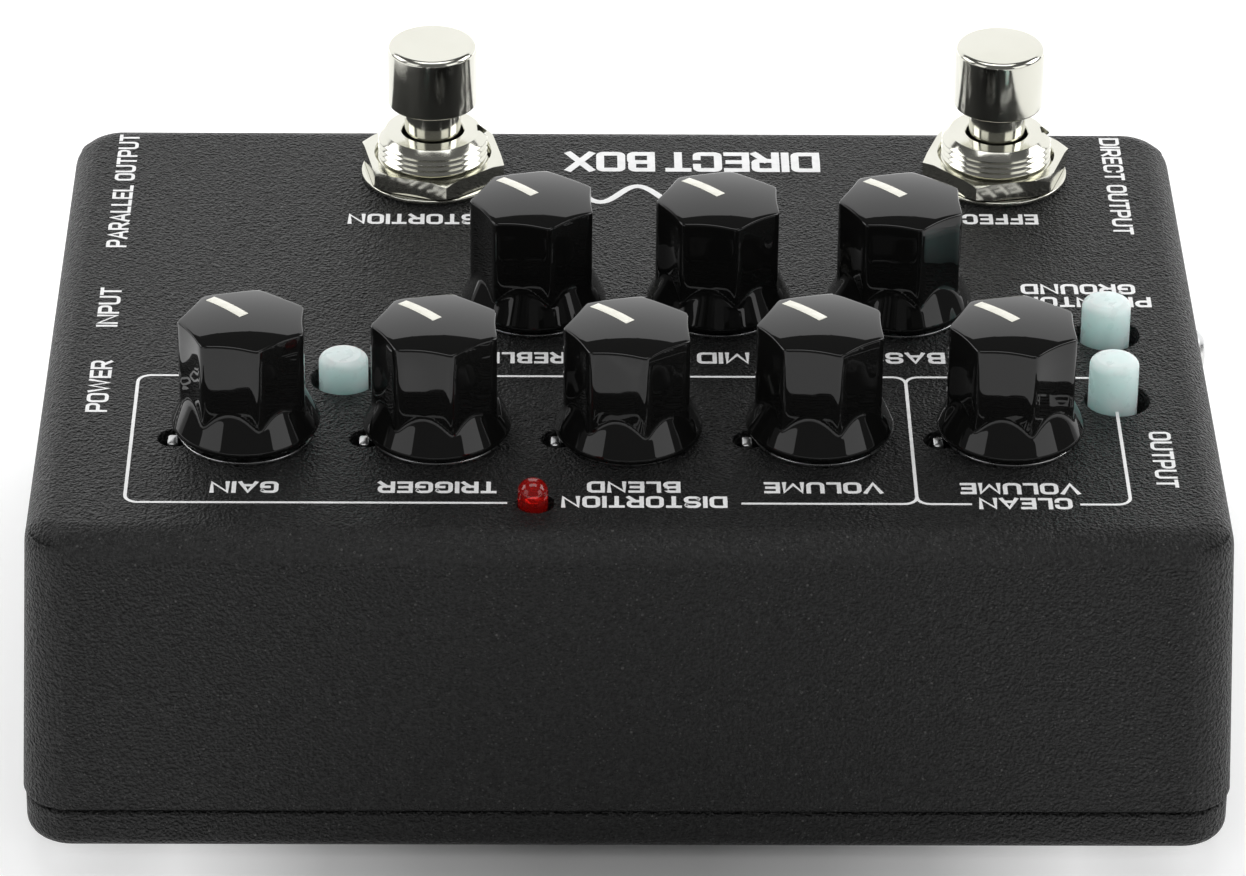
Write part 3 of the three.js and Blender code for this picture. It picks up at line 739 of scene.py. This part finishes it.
def switch_body(name):
    """A footswitch's can and threaded bushing, bored for the stem, with a keyway down one side."""
    corners = [(AXIS, SWITCH_BOTTOM, 0), (SWITCH_CAN, SWITCH_BOTTOM, 0.3), (SWITCH_CAN, BACK, 0.3),
               (BUSHING_RADIUS, BACK, 0), (BUSHING_RADIUS, 2.2, 0)]
    corners += threads(BUSHING_RADIUS, 2.3, BUSHING_TOP - 0.45, 0.62, 0.34)
    corners += [(BUSHING_RADIUS - 0.85, BUSHING_TOP, 0.12), (BORE + 0.12, BUSHING_TOP, 0),
                (BORE, BUSHING_TOP - 0.12, 0), (BORE, BORE_BOTTOM, 0), (AXIS, BORE_BOTTOM, 0)]
    body = turned(name, corners, segments=96, steps=3)
    outline = [(-7, -KEYWAY_HALF), (-KEYWAY_DEPTH, -KEYWAY_HALF), (-KEYWAY_DEPTH, KEYWAY_HALF),
               (-7, KEYWAY_HALF)]
    keyway = prism("keyway", outline, BACK + 0.2, BUSHING_TOP + CLEAR)
    return combine(body, swing(keyway, KEYWAY_TURN), "DIFFERENCE")


def switch_washer(name):
    inside = BUSHING_RADIUS + 0.25
    washer = turned(name, [(AXIS, WASHER_LOW, 0), (WASHER_RADIUS, WASHER_LOW, 0.1),
                           (WASHER_RADIUS, WASHER_TOP, 0.14), (AXIS, WASHER_TOP, 0)], segments=96)
    hole = turned("hole", [(inside, WASHER_LOW - CLEAR, 0), (inside, 2 * CLEAR, 0)], segments=96)
    return combine(washer, hole, "DIFFERENCE")


def stomp_cap(name, top):
    """A footswitch's cap and the stem below it."""
    under = top - CAP_HEIGHT
    corners = [(AXIS, top, 0), (CAP_RADIUS, top, 0.6), (CAP_RADIUS, under, 0.22), (NECK, under, 0.08),
               (NECK, under - NECK_LENGTH, 0.2), (AXIS, under - NECK_LENGTH, 0)]
    return turned(name, corners, segments=128, steps=10)


for name, centre in SWITCH_PLACES.items():
    seat = (centre.x, centre.y, PANEL)
    body = place_at(switch_body(f"switch_bushing_{name}"), seat)
    dress(body, NICKEL, stands_for=[f"footswitch_body_{name}"], crease=25)
    washer = place_at(switch_washer(f"switch_washer_{name}"), seat)
    dress(washer, NICKEL, stands_for=[f"footswitch_washer_{name}"], crease=50)
    nut = hexagon_nut(f"switch_nut_{name}", NUT_FLATS, NUT_LOW, NUT_TOP, BUSHING_RADIUS + 0.02, 0.32,
                      NUT_TURN[name])
    dress(place_at(nut, seat), NICKEL, stands_for=[f"footswitch_nut_{name}"], crease=25)
    cap = place_at(stomp_cap(f"stomp_cap_{name}", high(f"stomp_button_{name}").z - PANEL), seat)
    dress(cap, NICKEL, f"{name}_stomp", stands_for=[f"stomp_button_{name}"], crease=60)


# ---- push buttons and LED
BUTTON_RADIUS = 2.5
BUTTON_LENGTH = 9
BUTTON_STEM = 1.2
BUTTON_STEM_END = 12.2
LED_RADIUS = 1.5
LED_TOP = 2.6
LED_FLANGE = 1.85
LED_FLANGE_TOP = -3.1
LED_BOTTOM = -4


def button_cap(name, top):
    """A translucent cap with a rounded rim and a slightly dished end, on its stem."""
    foot, end = top - BUTTON_LENGTH, top - BUTTON_STEM_END
    corners = [(AXIS, top - 0.14, 0), (1.25, top - 0.06, 0.5), (1.75, top, 0.4),
               (BUTTON_RADIUS, top - 0.35, 0.75), (BUTTON_RADIUS, foot, 0.2), (BUTTON_STEM, foot, 0.1),
               (BUTTON_STEM, end, 0.1), (AXIS, end, 0)]
    return turned(name, corners, segments=80, steps=6)


for name, centre in BUTTON_PLACES.items():
    cap = place_at(button_cap(f"button_cap_{name}", high(f"push_button_{name}").z - PANEL),
                   (centre.x, centre.y, PANEL))
    dress(cap, AQUA, f"{name}_button", stands_for=[f"push_button_{name}"], crease=60)


def led_lens(name):
    corners = [(AXIS, LED_BOTTOM, 0), (LED_FLANGE, LED_BOTTOM, 0.1), (LED_FLANGE, LED_FLANGE_TOP, 0.1),
               (LED_RADIUS, LED_FLANGE_TOP, 0), (LED_RADIUS, LED_TOP, 1.35), (AXIS, LED_TOP, 0)]
    return turned(name, corners, steps=12)


def led_frame(name):
    """The reflector cup and post that show through the lens."""
    cup = turned("cup", [(AXIS, -1.5, 0), (0.35, -1.5, 0), (0.45, -0.2, 0), (0.85, 0.5, 0), (0.7, 0.5, 0),
                         (0.3, -0.05, 0), (AXIS, -0.05, 0)], (-0.2, 0, 0), 32)
    post = prism("post", [(0.75, -0.3), (1.15, -0.3), (1.15, 0.3), (0.75, 0.3)], -1.5, 0.35)
    return one_object(name, [cup, post])


seat = (LED.x, LED.y, PANEL)
lens = place_at(led_lens("led_lens"), seat)
dress(lens, LENS, stands_for=["status_led"], crease=60)
dress(place_at(led_frame("led_frame"), seat), ZINC)

# ---- lid, screws and feet
LIP = 1.4
LID_TOP = high("bottom_plate").z - LIP
LID_INSET = 0.25
LID_EDGE = 1.7
LID_PLATE = 2.2
SCREW_HEAD = 3.0


def lid_ring(inset, z):
    return level(rounded_rectangle(HALF_X - inset, HALF_Y - inset, CORNER_RADIUS - inset), z)


def lid():
    """The lid: a rounded plate with a hollow lip that fits inside the walls, and screw posts."""
    rings = [lid_ring(LID_INSET + LID_EDGE * inwards, LID_BOTTOM + LID_EDGE * up)
             for up, inwards in quarter_turn(8)]
    rings.append(lid_ring(LID_INSET, LID_TOP - 0.3))
    rings.append(lid_ring(LID_INSET + 0.1, LID_TOP - 0.1))
    rings.append(lid_ring(LID_INSET + 0.3, LID_TOP))
    plate = skinned("lid_plate", rings)
    lip = WALL + 0.3
    lip_body = skinned("lip", [lid_ring(lip, LID_TOP - 1), lid_ring(lip, LID_TOP + LIP)])
    combine(plate, lip_body, "UNION")
    recess_outline = rounded_rectangle(HALF_X - lip - 1.2, HALF_Y - lip - 1.2, 1.2)
    above = LID_TOP + LIP + CLEAR
    cuts = [prism("recess", recess_outline, LID_BOTTOM + LID_PLATE, above)]
    cuts += at_bosses("round", [(BOSS + 0.6, LID_TOP, 0), (BOSS + 0.6, above, 0)])
    for piece in cuts:
        combine(plate, piece, "DIFFERENCE")
    posts = at_bosses("post", [(BOSS, LID_BOTTOM + 1, 0), (BOSS, LID_TOP, 0)])
    combine(plate, one_object("posts", posts), "UNION")
    mouth = SCREW_HEAD + 0.3
    sinks = at_bosses("sink", [(mouth + 0.2, LID_BOTTOM - 0.2, 0), (mouth, LID_BOTTOM + 0.1, 0),
                               (mouth, LID_BOTTOM + 0.4, 0), (SCREW_CLEARANCE, LID_BOTTOM + 2.2, 0),
                               (SCREW_CLEARANCE, LID_TOP + CLEAR, 0)])
    combine(plate, one_object("sinks", sinks), "DIFFERENCE")
    plate.modifiers.new("flat faces", "WEIGHTED_NORMAL").keep_sharp = True
    dress(plate, POWDER, stands_for=["bottom_plate"], crease=30)


def cross_recess(width, reach, bottom, top):
    """A tapered cross that a screwdriver fits, pointing up from bottom to top."""
    arms = []
    for turn in (0, 90):
        rings = []
        for part, z in ((0.45, bottom), (1, top)):
            half_x, half_y = reach * part, width / 2
            ring = [(-half_x, -half_y, z), (half_x, -half_y, z), (half_x, half_y, z), (-half_x, half_y, z)]
            rings.append(ring)
        arms.append(swing(skinned("arm", rings), turn))
    return combine(*arms, "UNION")


def lid_screw(name):
    """A countersunk screw, its head on the plane z = 0 and its thread pointing up."""
    corners = [(AXIS, 0.35, 0), (SCREW_HEAD - 0.1, 0.35, 0), (SCREW_HEAD, 0.45, 0), (1.5, 2.2, 0)]
    corners += threads(1.5, 2.4, 14.2, 0.7, 0.28)
    corners += [(1.0, 15.0, 0), (AXIS, 15.0, 0)]
    body = turned(name, corners, segments=40)
    recess = swing(cross_recess(0.75, 1.75, -1.6, 0), 180, "X")
    return combine(body, recess, "DIFFERENCE")


def rubber_foot(name):
    top = high("rubber_foot_1").z
    corners = [(AXIS, 0.25, 0), (2.4, 0.25, 0.1), (2.7, 0, 0.15), (3.6, 0, 0.8), (5.1, 0.85, 1.6),
               (5.8, 2.3, 0.8), (5.8, top, 0), (AXIS, top, 0)]
    return turned(name, corners, segments=64, steps=6)


lid()
for i, boss in enumerate(BOSSES, 1):
    screw = place_at(lid_screw(f"lid_fixing_{i}"), (boss.x, boss.y, LID_BOTTOM))
    dress(screw, ZINC, stands_for=[f"lid_screw_{i}"], crease=30)
    foot_centre = middle(f"rubber_foot_{i}")
    foot = place_at(rubber_foot(f"foot_{i}"), (foot_centre.x, foot_centre.y, 0))
    dress(foot, RUBBER, stands_for=[f"rubber_foot_{i}"], crease=50)


# ---- sockets
# Each socket is made facing +X with the wall's outer face at x = 0. Its block stands behind the wall.
SOCKET_BACK = -WALL - 0.5
XLR_PIN_CIRCLE = 4.0


def lying(piece):
    """Turns a body of revolution so its axis runs along +X."""
    return swing(piece, 90, "Y")


def soft_block(name, low_corner, high_corner, edge):
    """A box with softened edges between two corners."""
    size = (Vector(high_corner) - Vector(low_corner)) / 2
    centre = (Vector(high_corner) + Vector(low_corner)) / 2
    rings = []
    for inset, z in ((edge, -size.z), (0, edge - size.z), (0, size.z - edge), (edge, size.z)):
        rings.append(level(rounded_rectangle(size.x - inset, size.y - inset, edge, 3), z))
    return place_at(skinned(name, rings), centre)


def on_wall(piece, place):
    """Moves a socket made with its face on x = 0, facing +X, to its place on a side wall."""
    if place[0] < 0:
        swing(piece, 180)
    return place_at(piece, place)


def with_nose(block, outer, bore, front, depth):
    """Gives a block a round nose with a chamfered mouth along +X, and bores both to a depth."""
    back = SOCKET_BACK - 1
    nose = turned("nose", [(AXIS, back, 0), (outer, back, 0), (outer, front, 0.35), (AXIS, front, 0)],
                  segments=72)
    mouth = bore + 0.5
    hole = turned("hole", [(bore, SOCKET_BACK - depth, 0), (bore, front - 0.5, 0), (mouth, front, 0),
                           (mouth, front + CLEAR, 0)], segments=72)
    combine(block, lying(nose), "UNION")
    return combine(block, lying(hole), "DIFFERENCE")


def phone_jack(name):
    block = soft_block(name, (SOCKET_BACK - 22, -7.75, -6.5), (SOCKET_BACK, 7.75, 6.5), 0.5)
    return with_nose(block, outer=5.2, bore=3.4, front=0.6, depth=19.5)


def jack_spring(name):
    """Two contact springs bowed into the bore, seen down the hole."""
    parts = []
    for side, reach in ((1, 7), (-1, 14)):
        rings = []
        for x, z in ((-3, 3.32), (-1.5, 3.1), (0, 2.45), (1.2, 2.85), (2.4, 3.32)):
            centre = x - reach + SOCKET_BACK
            rings.append([(centre, -1, side * z), (centre, 1, side * z), (centre, 1, side * (z - 0.35)),
                          (centre, -1, side * (z - 0.35))])
        parts.append(skinned("spring", rings))
    return one_object(name, parts)


for name in JACKS:
    place = jack_place(name)
    jack = on_wall(phone_jack(f"jack_socket_{name}"), place)
    dress(jack, PLASTIC, stands_for=[f"jack_{name}"], crease=30)
    spring = on_wall(jack_spring(f"jack_spring_{name}"), place)
    dress(spring, GOLD, crease=50)


def supply_socket(name):
    block = soft_block(name, (SOCKET_BACK - 11, -4.5, -5), (SOCKET_BACK, 4.5, 6.5), 0.4)
    return with_nose(block, outer=3.9, bore=3.1, front=0.2, depth=7)


def contact_pin(name, radius, back, front, tip):
    """A round contact pin along +X, its front end rounded."""
    corners = [(AXIS, back, 0), (radius, back, 0), (radius, front, tip), (AXIS, front, 0)]
    return lying(turned(name, corners, segments=32))


dress(on_wall(supply_socket("supply_inlet"), SUPPLY), PLASTIC,
      stands_for=["supply_socket"], crease=30)
supply_pin = contact_pin("supply_pin", 1.05, back=SOCKET_BACK - 7.5, front=-1.6, tip=0.5)
dress(on_wall(supply_pin, SUPPLY), NICKEL)


def xlr_shell(name):
    block = soft_block(name, (SOCKET_BACK - 15, -12.1, -9.6), (SOCKET_BACK, 10.9, 9.3), 0.5)
    body = with_nose(block, outer=9.0, bore=7.9, front=0.3, depth=11.8)
    holes = []
    for screw in XLR_SCREWS:
        bore = lying(turned("bore", [(1.45, SOCKET_BACK - 7, 0), (1.45, 2, 0)], segments=32))
        holes.append(place_at(bore, (0, XLR.y - screw.y, screw.z - XLR.z)))
    return combine(body, one_object("bores", holes), "DIFFERENCE")


def xlr_insert(name):
    """The moulded floor of the shell and the rib that keys a plug."""
    back, front = SOCKET_BACK - 11.7, SOCKET_BACK - 9.4
    corners = [(AXIS, back, 0), (7.6, back, 0), (7.6, front, 0.4), (AXIS, front, 0)]
    floor_disc = lying(turned(name, corners, segments=72))
    rib = soft_block("rib", (SOCKET_BACK - 10, -1.1, 6.3), (-1.2, 1.1, 7.75), 0.2)
    return one_object(name, [floor_disc, rib])


def xlr_pins(name):
    pins = []
    for turn in (20, 160, 270):
        pin = contact_pin("pin", 1.18, back=SOCKET_BACK - 10, front=-2.2, tip=0.8)
        angle = math.radians(turn)
        pins.append(place_at(pin, (0, XLR_PIN_CIRCLE * math.cos(angle), XLR_PIN_CIRCLE * math.sin(angle))))
    return one_object(name, pins)


def pan_screw(name):
    """A pan-head screw along +X, the underside of its head just off x = 0."""
    corners = [(AXIS, -8, 0), (1.0, -8, 0)]
    corners += threads(1.2, -7.6, -0.4, 0.6, 0.2)
    corners += [(1.0, 0.2, 0), (2.4, 0.2, 0.12), (2.35, 0.9, 0.5), (1.6, 1.65, 0.9), (AXIS, 1.8, 0)]
    body = turned(name, corners, segments=48)
    combine(body, place_at(cross_recess(0.6, 1.35, 0, 1.2), (0, 0, 0.9)), "DIFFERENCE")
    return lying(body)


dress(on_wall(xlr_shell("xlr_shell"), XLR), ZINC, stands_for=["xlr_socket"], crease=30)
dress(on_wall(xlr_insert("xlr_insert"), XLR), PLASTIC, crease=30)
dress(on_wall(xlr_pins("xlr_pins"), XLR), NICKEL, crease=50)
for i, screw in enumerate(XLR_SCREWS, 1):
    place = (face_x(-1, XLR.z), screw.y, screw.z)
    piece = on_wall(pan_screw(f"xlr_fixing_{i}"), place)
    dress(piece, ZINC, stands_for=[f"xlr_screw_{i}"], crease=35)

# ---- parts inside that stay as they are
INSIDE = {"pot_shaft": ZINC, "push_switch": PLASTIC, "main_board": BOARD, "battery_snap": PLASTIC,
          "battery": WRAP}
for name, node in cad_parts.items():
    for start, material in INSIDE.items():
        if name.startswith(start):
            node.data.materials.clear()
            node.data.materials.append(material)
            break


# ---- legends
INK = 0.015
INK_ROOT = 0.03
LAYER = 0.003
LINE = 0.34
LINE_CORNER = 1.3
STROKE = 0.44
SIDE_STROKE = 0.38
LETTER_GAP = 0.2
WORD_GAP = 1.1
SOFT_CORNER = 0.42
MITRE_LIMIT = 0.75

# Each letter's width, against that of an O, and its strokes on a square from (0, 0) to (1, 1).
# A third value of 1 marks a corner that is rounded.
STEM = [(0, 0), (0, 1)]
BOWL = [(0, 1), (1, 1, 1), (1, 0.42, 1), (0, 0.42)]
LETTERS = {
    "A": (1.1, [[(0, 0), (0.5, 1), (1, 0)], [(0.2, 0.3), (0.8, 0.3)]]),
    "B": (0.95, [STEM, [(0, 1), (0.95, 1, 1), (0.95, 0.52, 1), (0, 0.52)],
                 [(0, 0.52), (1, 0.52, 1), (1, 0, 1), (0, 0)]]),
    "C": (1, [[(1, 0.74), (1, 1, 1), (0, 1, 1), (0, 0, 1), (1, 0, 1), (1, 0.26)]]),
    "D": (1, [[(0, 0.5), (0, 1), (1, 1, 1), (1, 0, 1), (0, 0), (0, 0.5)]]),
    "E": (0.85, [[(1, 1), (0, 1), (0, 0), (1, 0)], [(0, 0.5), (0.9, 0.5)]]),
    "F": (0.8, [[(1, 1), (0, 1), (0, 0)], [(0, 0.5), (0.85, 0.5)]]),
    "G": (1, [[(1, 0.8), (1, 1, 1), (0, 1, 1), (0, 0, 1), (1, 0, 1), (1, 0.47), (0.55, 0.47)]]),
    "H": (1, [STEM, [(1, 0), (1, 1)], [(0, 0.5), (1, 0.5)]]),
    "I": (0, [STEM]),
    "L": (0.75, [[(0, 1), (0, 0), (1, 0)]]),
    "M": (1.3, [[(0, 0), (0, 1), (0.5, 0.12), (1, 1), (1, 0)]]),
    "N": (1.1, [[(0, 0), (0, 1), (1, 0), (1, 1)]]),
    "O": (1, [[(0, 0.5), (0, 1, 1), (1, 1, 1), (1, 0, 1), (0, 0, 1), (0, 0.5)]]),
    "P": (0.95, [STEM, BOWL]),
    "R": (0.95, [STEM, BOWL, [(0.5, 0.42), (1, 0)]]),
    "S": (0.95, [[(1, 0.77), (1, 1, 1), (0, 1, 1), (0, 0.52, 1), (1, 0.52, 1), (1, 0, 1), (0, 0, 1),
                  (0, 0.23)]]),
    "T": (0.85, [[(0, 1), (1, 1)], [(0.5, 1), (0.5, 0)]]),
    "U": (1, [[(0, 1), (0, 0, 1), (1, 0, 1), (1, 1)]]),
    "V": (1.1, [[(0, 1), (0.5, 0), (1, 1)]]),
    "W": (1.6, [[(0, 1), (0.25, 0), (0.5, 1), (0.75, 0), (1, 1)]]),
    "X": (1, [[(0, 0), (1, 1)], [(0, 1), (1, 0)]]),
}


def ribbon(name, path, width, ink=INK):
    """A printed stroke of constant width on the panel along (x, y) points, mitred at its corners."""
    rings = []
    for i, here in enumerate(path):
        before, after = path[max(i - 1, 0)], path[min(i + 1, len(path) - 1)]
        arriving = (here - before).normalized() if i else (after - here).normalized()
        leaving = (after - here).normalized() if i < len(path) - 1 else arriving
        along = (arriving + leaving).normalized()
        across = Vector((-along.y, along.x))
        across *= width / 2 / max(along.dot(leaving), MITRE_LIMIT)
        left, right = here + across, here - across
        rings.append([(right.x, right.y, PANEL - INK_ROOT), (left.x, left.y, PANEL - INK_ROOT),
                      (left.x, left.y, PANEL + ink), (right.x, right.y, PANEL + ink)])
    return skinned(name, rings)


def square_ends(path, reach):
    """Lengthens an open stroke at both ends, and leaves a closed one as it is."""
    if (path[0] - path[-1]).length < reach:
        return path
    start = path[0] + (path[0] - path[1]).normalized() * reach
    end = path[-1] + (path[-1] - path[-2]).normalized() * reach
    return [start, *path[1:-1], end]


def legend(name, text, centre, width, height, turn=0, stroke=STROKE):
    """Printed capitals of a given overall width and height, centred at (x, y) and turned in degrees."""
    letters = [LETTERS[letter] for letter in text if letter != " "]
    words = text.count(" ") + 1
    gaps = (len(letters) - words) * LETTER_GAP + (words - 1) * WORD_GAP
    unit = (width - gaps - stroke * len(letters)) / sum(share for share, strokes in letters)
    left = -width / 2
    parts = []
    for letter in text:
        if letter == " ":
            left += WORD_GAP - LETTER_GAP
            continue
        share, strokes = LETTERS[letter]
        for layer, corners in enumerate(strokes):
            outline = []
            for x, y, *soft in corners:
                radius = min(SOFT_CORNER, 0.45 * share * unit) if soft else 0
                outline.append((left + stroke / 2 + x * share * unit, (y - 0.5) * (height - stroke), radius))
            path = square_ends(filleted(outline, 5), stroke / 2)
            parts.append(ribbon("stroke", path, stroke, INK + layer * LAYER))
        left += share * unit + stroke + LETTER_GAP
    piece = swing(one_object(name, parts), turn)
    dress(place_at(piece, (*centre, 0)), PRINT)


def line(name, points, ink=INK):
    """A printed line with rounded corners."""
    path = filleted([(x, y, LINE_CORNER) for x, y in points], 6)
    dress(ribbon(name, path, LINE, ink), PRINT)


FRAME_RIGHT, FRAME_LEFT = 49.45, -49.1
FRAME_NEAR, FRAME_FAR = 36.75, 11.74
DIVIDER = -28.15
LINE_GAP = 5
SHAPE_X = BUTTON_PLACES["shape"].x
line("frame_line_right", [(12.0, FRAME_NEAR), (FRAME_RIGHT, FRAME_NEAR), (FRAME_RIGHT, FRAME_FAR),
                          (SHAPE_X + LINE_GAP, FRAME_FAR)])
line("frame_line_middle", [(SHAPE_X - LINE_GAP, FRAME_FAR), (DIVIDER, FRAME_FAR),
                           (DIVIDER, FRAME_NEAR), (-10.9, FRAME_NEAR)])
line("frame_line_left", [(-33.5, FRAME_NEAR), (DIVIDER, FRAME_NEAR), (DIVIDER, FRAME_FAR),
                         (FRAME_LEFT, FRAME_FAR), (FRAME_LEFT, FRAME_NEAR), (-44.1, FRAME_NEAR)],
     ink=INK + LAYER)

LEGENDS = [
    ("gain", "GAIN", (37.85, 33.85), 6.75, 2.2),
    ("trigger", "TRIGGER", (18.9, 33.8), 11.65, 2.2),
    ("blend", "BLEND", (-0.4, 33.65), 9.2, 2.15),
    ("distortion", "DISTORTION", (-1.4, 36.5), 16.3, 2.2),
    ("volume", "VOLUME", (-19.05, 33.7), 11.7, 2.15),
    ("clean_volume", "VOLUME", (-38.4, 33.75), 11.8, 2.15),
    ("clean", "CLEAN", (-38.75, 36.6), 9.2, 2.15),
    ("treble", "TREBLE", (9.5, 7.95), 9.8, 2.3),
    ("mid", "MID", (-9.8, 7.9), 5.35, 2.3),
    ("bass", "BASS", (-28.35, 7.8), 8.1, 2.3),
    ("phantom", "PHANTOM", (-47.5, -4.1), 13.8, 2.15),
    ("ground", "GROUND", (-47.0, -6.85), 11.9, 2.15),
    ("distortion_switch", "DISTORTION", (21.1, -21.75), 16.3, 2.25),
    ("effect_switch", "EFFECT", (-39.05, -22.1), 9.65, 2.25),
]
for name, *where in LEGENDS:
    legend(f"legend_{name}", *where)
legend("legend_title", "DIRECT BOX", (-7.5, -34.9), 27.4, 4.5, stroke=0.85)

SIDE_LEGENDS = [
    ("input", "INPUT", (53.3, -2.4), 8.3, 2.2, -90),
    ("power", "POWER", (53.3, 14.0), 10.4, 2.2, -90),
    ("parallel_output", "PARALLEL OUTPUT", (53.35, -28.05), 25.5, 2.15, -90),
    ("output", "OUTPUT", (-53.0, 28.0), 10.9, 2.2, 90),
    ("direct_output", "DIRECT OUTPUT", (-52.75, -29.8), 21.9, 2.15, 90),
]
for name, *where in SIDE_LEGENDS:
    legend(f"legend_{name}", *where, SIDE_STROKE)

WAVE_PLACE = Vector((-3.5, -27.5))
WAVE_LENGTH = 24
WAVE_HEIGHT = 1.8
WAVE_PERIODS = 3
WAVE_STROKE = 0.8


def wave_mark(name):
    """A plain sine wave under the title."""
    steps = 24 * WAVE_PERIODS
    path = []
    for k in range(steps + 1):
        part = k / steps
        rise = WAVE_HEIGHT * math.sin(2 * math.pi * WAVE_PERIODS * part)
        path.append(WAVE_PLACE + Vector(((part - 0.5) * WAVE_LENGTH, rise)))
    dress(ribbon(name, path, WAVE_STROKE), PRINT)


wave_mark("wave_mark")

# ---- floor, light and camera
floor_mesh = bpy.data.meshes.new("floor")
FLOOR = 4
corners = [(-FLOOR, -FLOOR, 0), (FLOOR, -FLOOR, 0), (FLOOR, FLOOR, 0), (-FLOOR, FLOOR, 0)]
floor_mesh.from_pydata(corners, [], [(0, 1, 2, 3)])
floor = linked("floor", floor_mesh)
glowing_paper = Finish("glowing_paper", Roughness=0.75, Specular_IOR_Level=0.3, Emission_Strength=1.0)
glowing_paper.mottle("Base Color", 30, 4, (0.3, 0.74), (0.7, 0.76))
# Painted light and shadow: the floor glows by emission, not at all near the box and more further out, which
# paints a soft shadow around the box. Ramp places are in tenths of a metre.
PER_TENTH = 10
aside = glowing_paper.math("MULTIPLY", glowing_paper.math("ABSOLUTE", glowing_paper.split(glowing_paper.space, "X")), PER_TENTH)
beyond = glowing_paper.math("MULTIPLY", glowing_paper.math("ABSOLUTE", glowing_paper.split(glowing_paper.space, "Y")), PER_TENTH)
across = glowing_paper.ramp(aside, (0.08, 0.0), (0.2, 0.06), (0.3, 0.17), (0.45, 0.54), (0.6, 0.36))
painted_glow_far = glowing_paper.ramp(beyond, (0.56, 0.0), (0.95, 0.36))
glowing_paper.drive("Emission Color", glowing_paper.math("MAXIMUM", across, painted_glow_far))
floor_mesh.materials.append(glowing_paper.material)


def studio_world():
    """Dim surroundings, a little lighter on the camera's side, and plain white to the camera."""
    world = bpy.data.worlds.new("studio")
    bpy.context.scene.world = world
    world.use_nodes = True
    nodes, links = world.node_tree.nodes, world.node_tree.links
    background = nodes["Background"]
    output = nodes["World Output"]
    direction = nodes.new("ShaderNodeTexCoord").outputs["Generated"]
    axes = nodes.new("ShaderNodeSeparateXYZ")
    links.new(direction, axes.inputs[0])
    towards = nodes.new("ShaderNodeMapRange")
    for key, value in (("From Min", -0.4), ("From Max", 0.4), ("To Min", 0.08), ("To Max", 0.14)):
        towards.inputs[key].default_value = value
    links.new(axes.outputs["Y"], towards.inputs["Value"])
    links.new(towards.outputs["Result"], background.inputs["Strength"])
    background.inputs["Color"].default_value = grey(1)
    plain = nodes.new("ShaderNodeBackground")
    plain.inputs["Color"].default_value = grey(1)
    seen = nodes.new("ShaderNodeLightPath")
    mix = nodes.new("ShaderNodeMixShader")
    links.new(seen.outputs["Is Camera Ray"], mix.inputs[0])
    links.new(background.outputs[0], mix.inputs[1])
    links.new(plain.outputs[0], mix.inputs[2])
    links.new(mix.outputs[0], output.inputs["Surface"])


def softbox(name, place, target, width, height, radiance, glossy=True, diffuse=True):
    """A rectangular light of even brightness at place, aimed at target, sizes in metres."""
    light = bpy.data.lights.new(name, "AREA")
    light.shape = "RECTANGLE"
    light.size = width
    light.size_y = height
    light.energy = radiance * math.pi * width * height
    lamp = linked(name, light)
    lamp.location = place
    lamp.rotation_euler = (Vector(target) - Vector(place)).to_track_quat("-Z", "Y").to_euler()
    lamp.visible_camera = False
    lamp.visible_glossy = glossy
    lamp.visible_diffuse = diffuse


studio_world()
softbox("back_panel", (0, -0.30, 0.16), (0, 0, 0.16), 1.0, 0.34, 1.17)
softbox("back_fill", (0, -0.55, 0.50), (0, 0, 0), 1.2, 0.5, 1.3, glossy=False)
softbox("front_fill", (0, 0.45, 0.30), (0, 0, 0.03), 1.0, 0.3, 1.5, glossy=False)
softbox("left_box", (0.48, -0.10, 0.30), (0, 0, 0.03), 0.3, 0.3, 2.6)
softbox("right_box", (-0.48, -0.10, 0.30), (0, 0, 0.03), 0.3, 0.3, 3.4)
softbox("left_front", (0.42, 0.30, 0.22), (0, 0, 0.04), 0.3, 0.3, 1.1, diffuse=False)
softbox("right_front", (-0.42, 0.30, 0.22), (0, 0, 0.04), 0.3, 0.3, 1.3, diffuse=False)
softbox("top_box", (0, -0.03, 0.55), (0, -0.03, 0), 0.4, 0.25, 2.2)

# The camera looks down from the knob side, a little to the right of the middle.
CAMERA_PLACE = Vector((8.53, 566.13, 355.22)) * MM
CAMERA_YAW = 0.0147
CAMERA_PITCH = 0.5284
CAMERA_ROLL = 0.0103
CAMERA_LENS = 182.14

forward = Vector((-math.sin(CAMERA_YAW) * math.cos(CAMERA_PITCH),
                  -math.cos(CAMERA_YAW) * math.cos(CAMERA_PITCH), -math.sin(CAMERA_PITCH)))
right = Vector((-math.cos(CAMERA_YAW), math.sin(CAMERA_YAW), 0))
up = right.cross(forward)
rolled_right = right * math.cos(CAMERA_ROLL) + up * math.sin(CAMERA_ROLL)
rolled_up = up * math.cos(CAMERA_ROLL) - right * math.sin(CAMERA_ROLL)
lens_data = bpy.data.cameras.new("camera")
lens_data.sensor_width = 36
lens_data.lens = CAMERA_LENS
camera = linked("camera", lens_data)
axes = Matrix((rolled_right, rolled_up, -forward)).transposed().to_4x4()
camera.matrix_world = Matrix.Translation(CAMERA_PLACE) @ axes
bpy.context.scene.camera = camera
bpy.context.scene.view_settings.view_transform = "Standard"
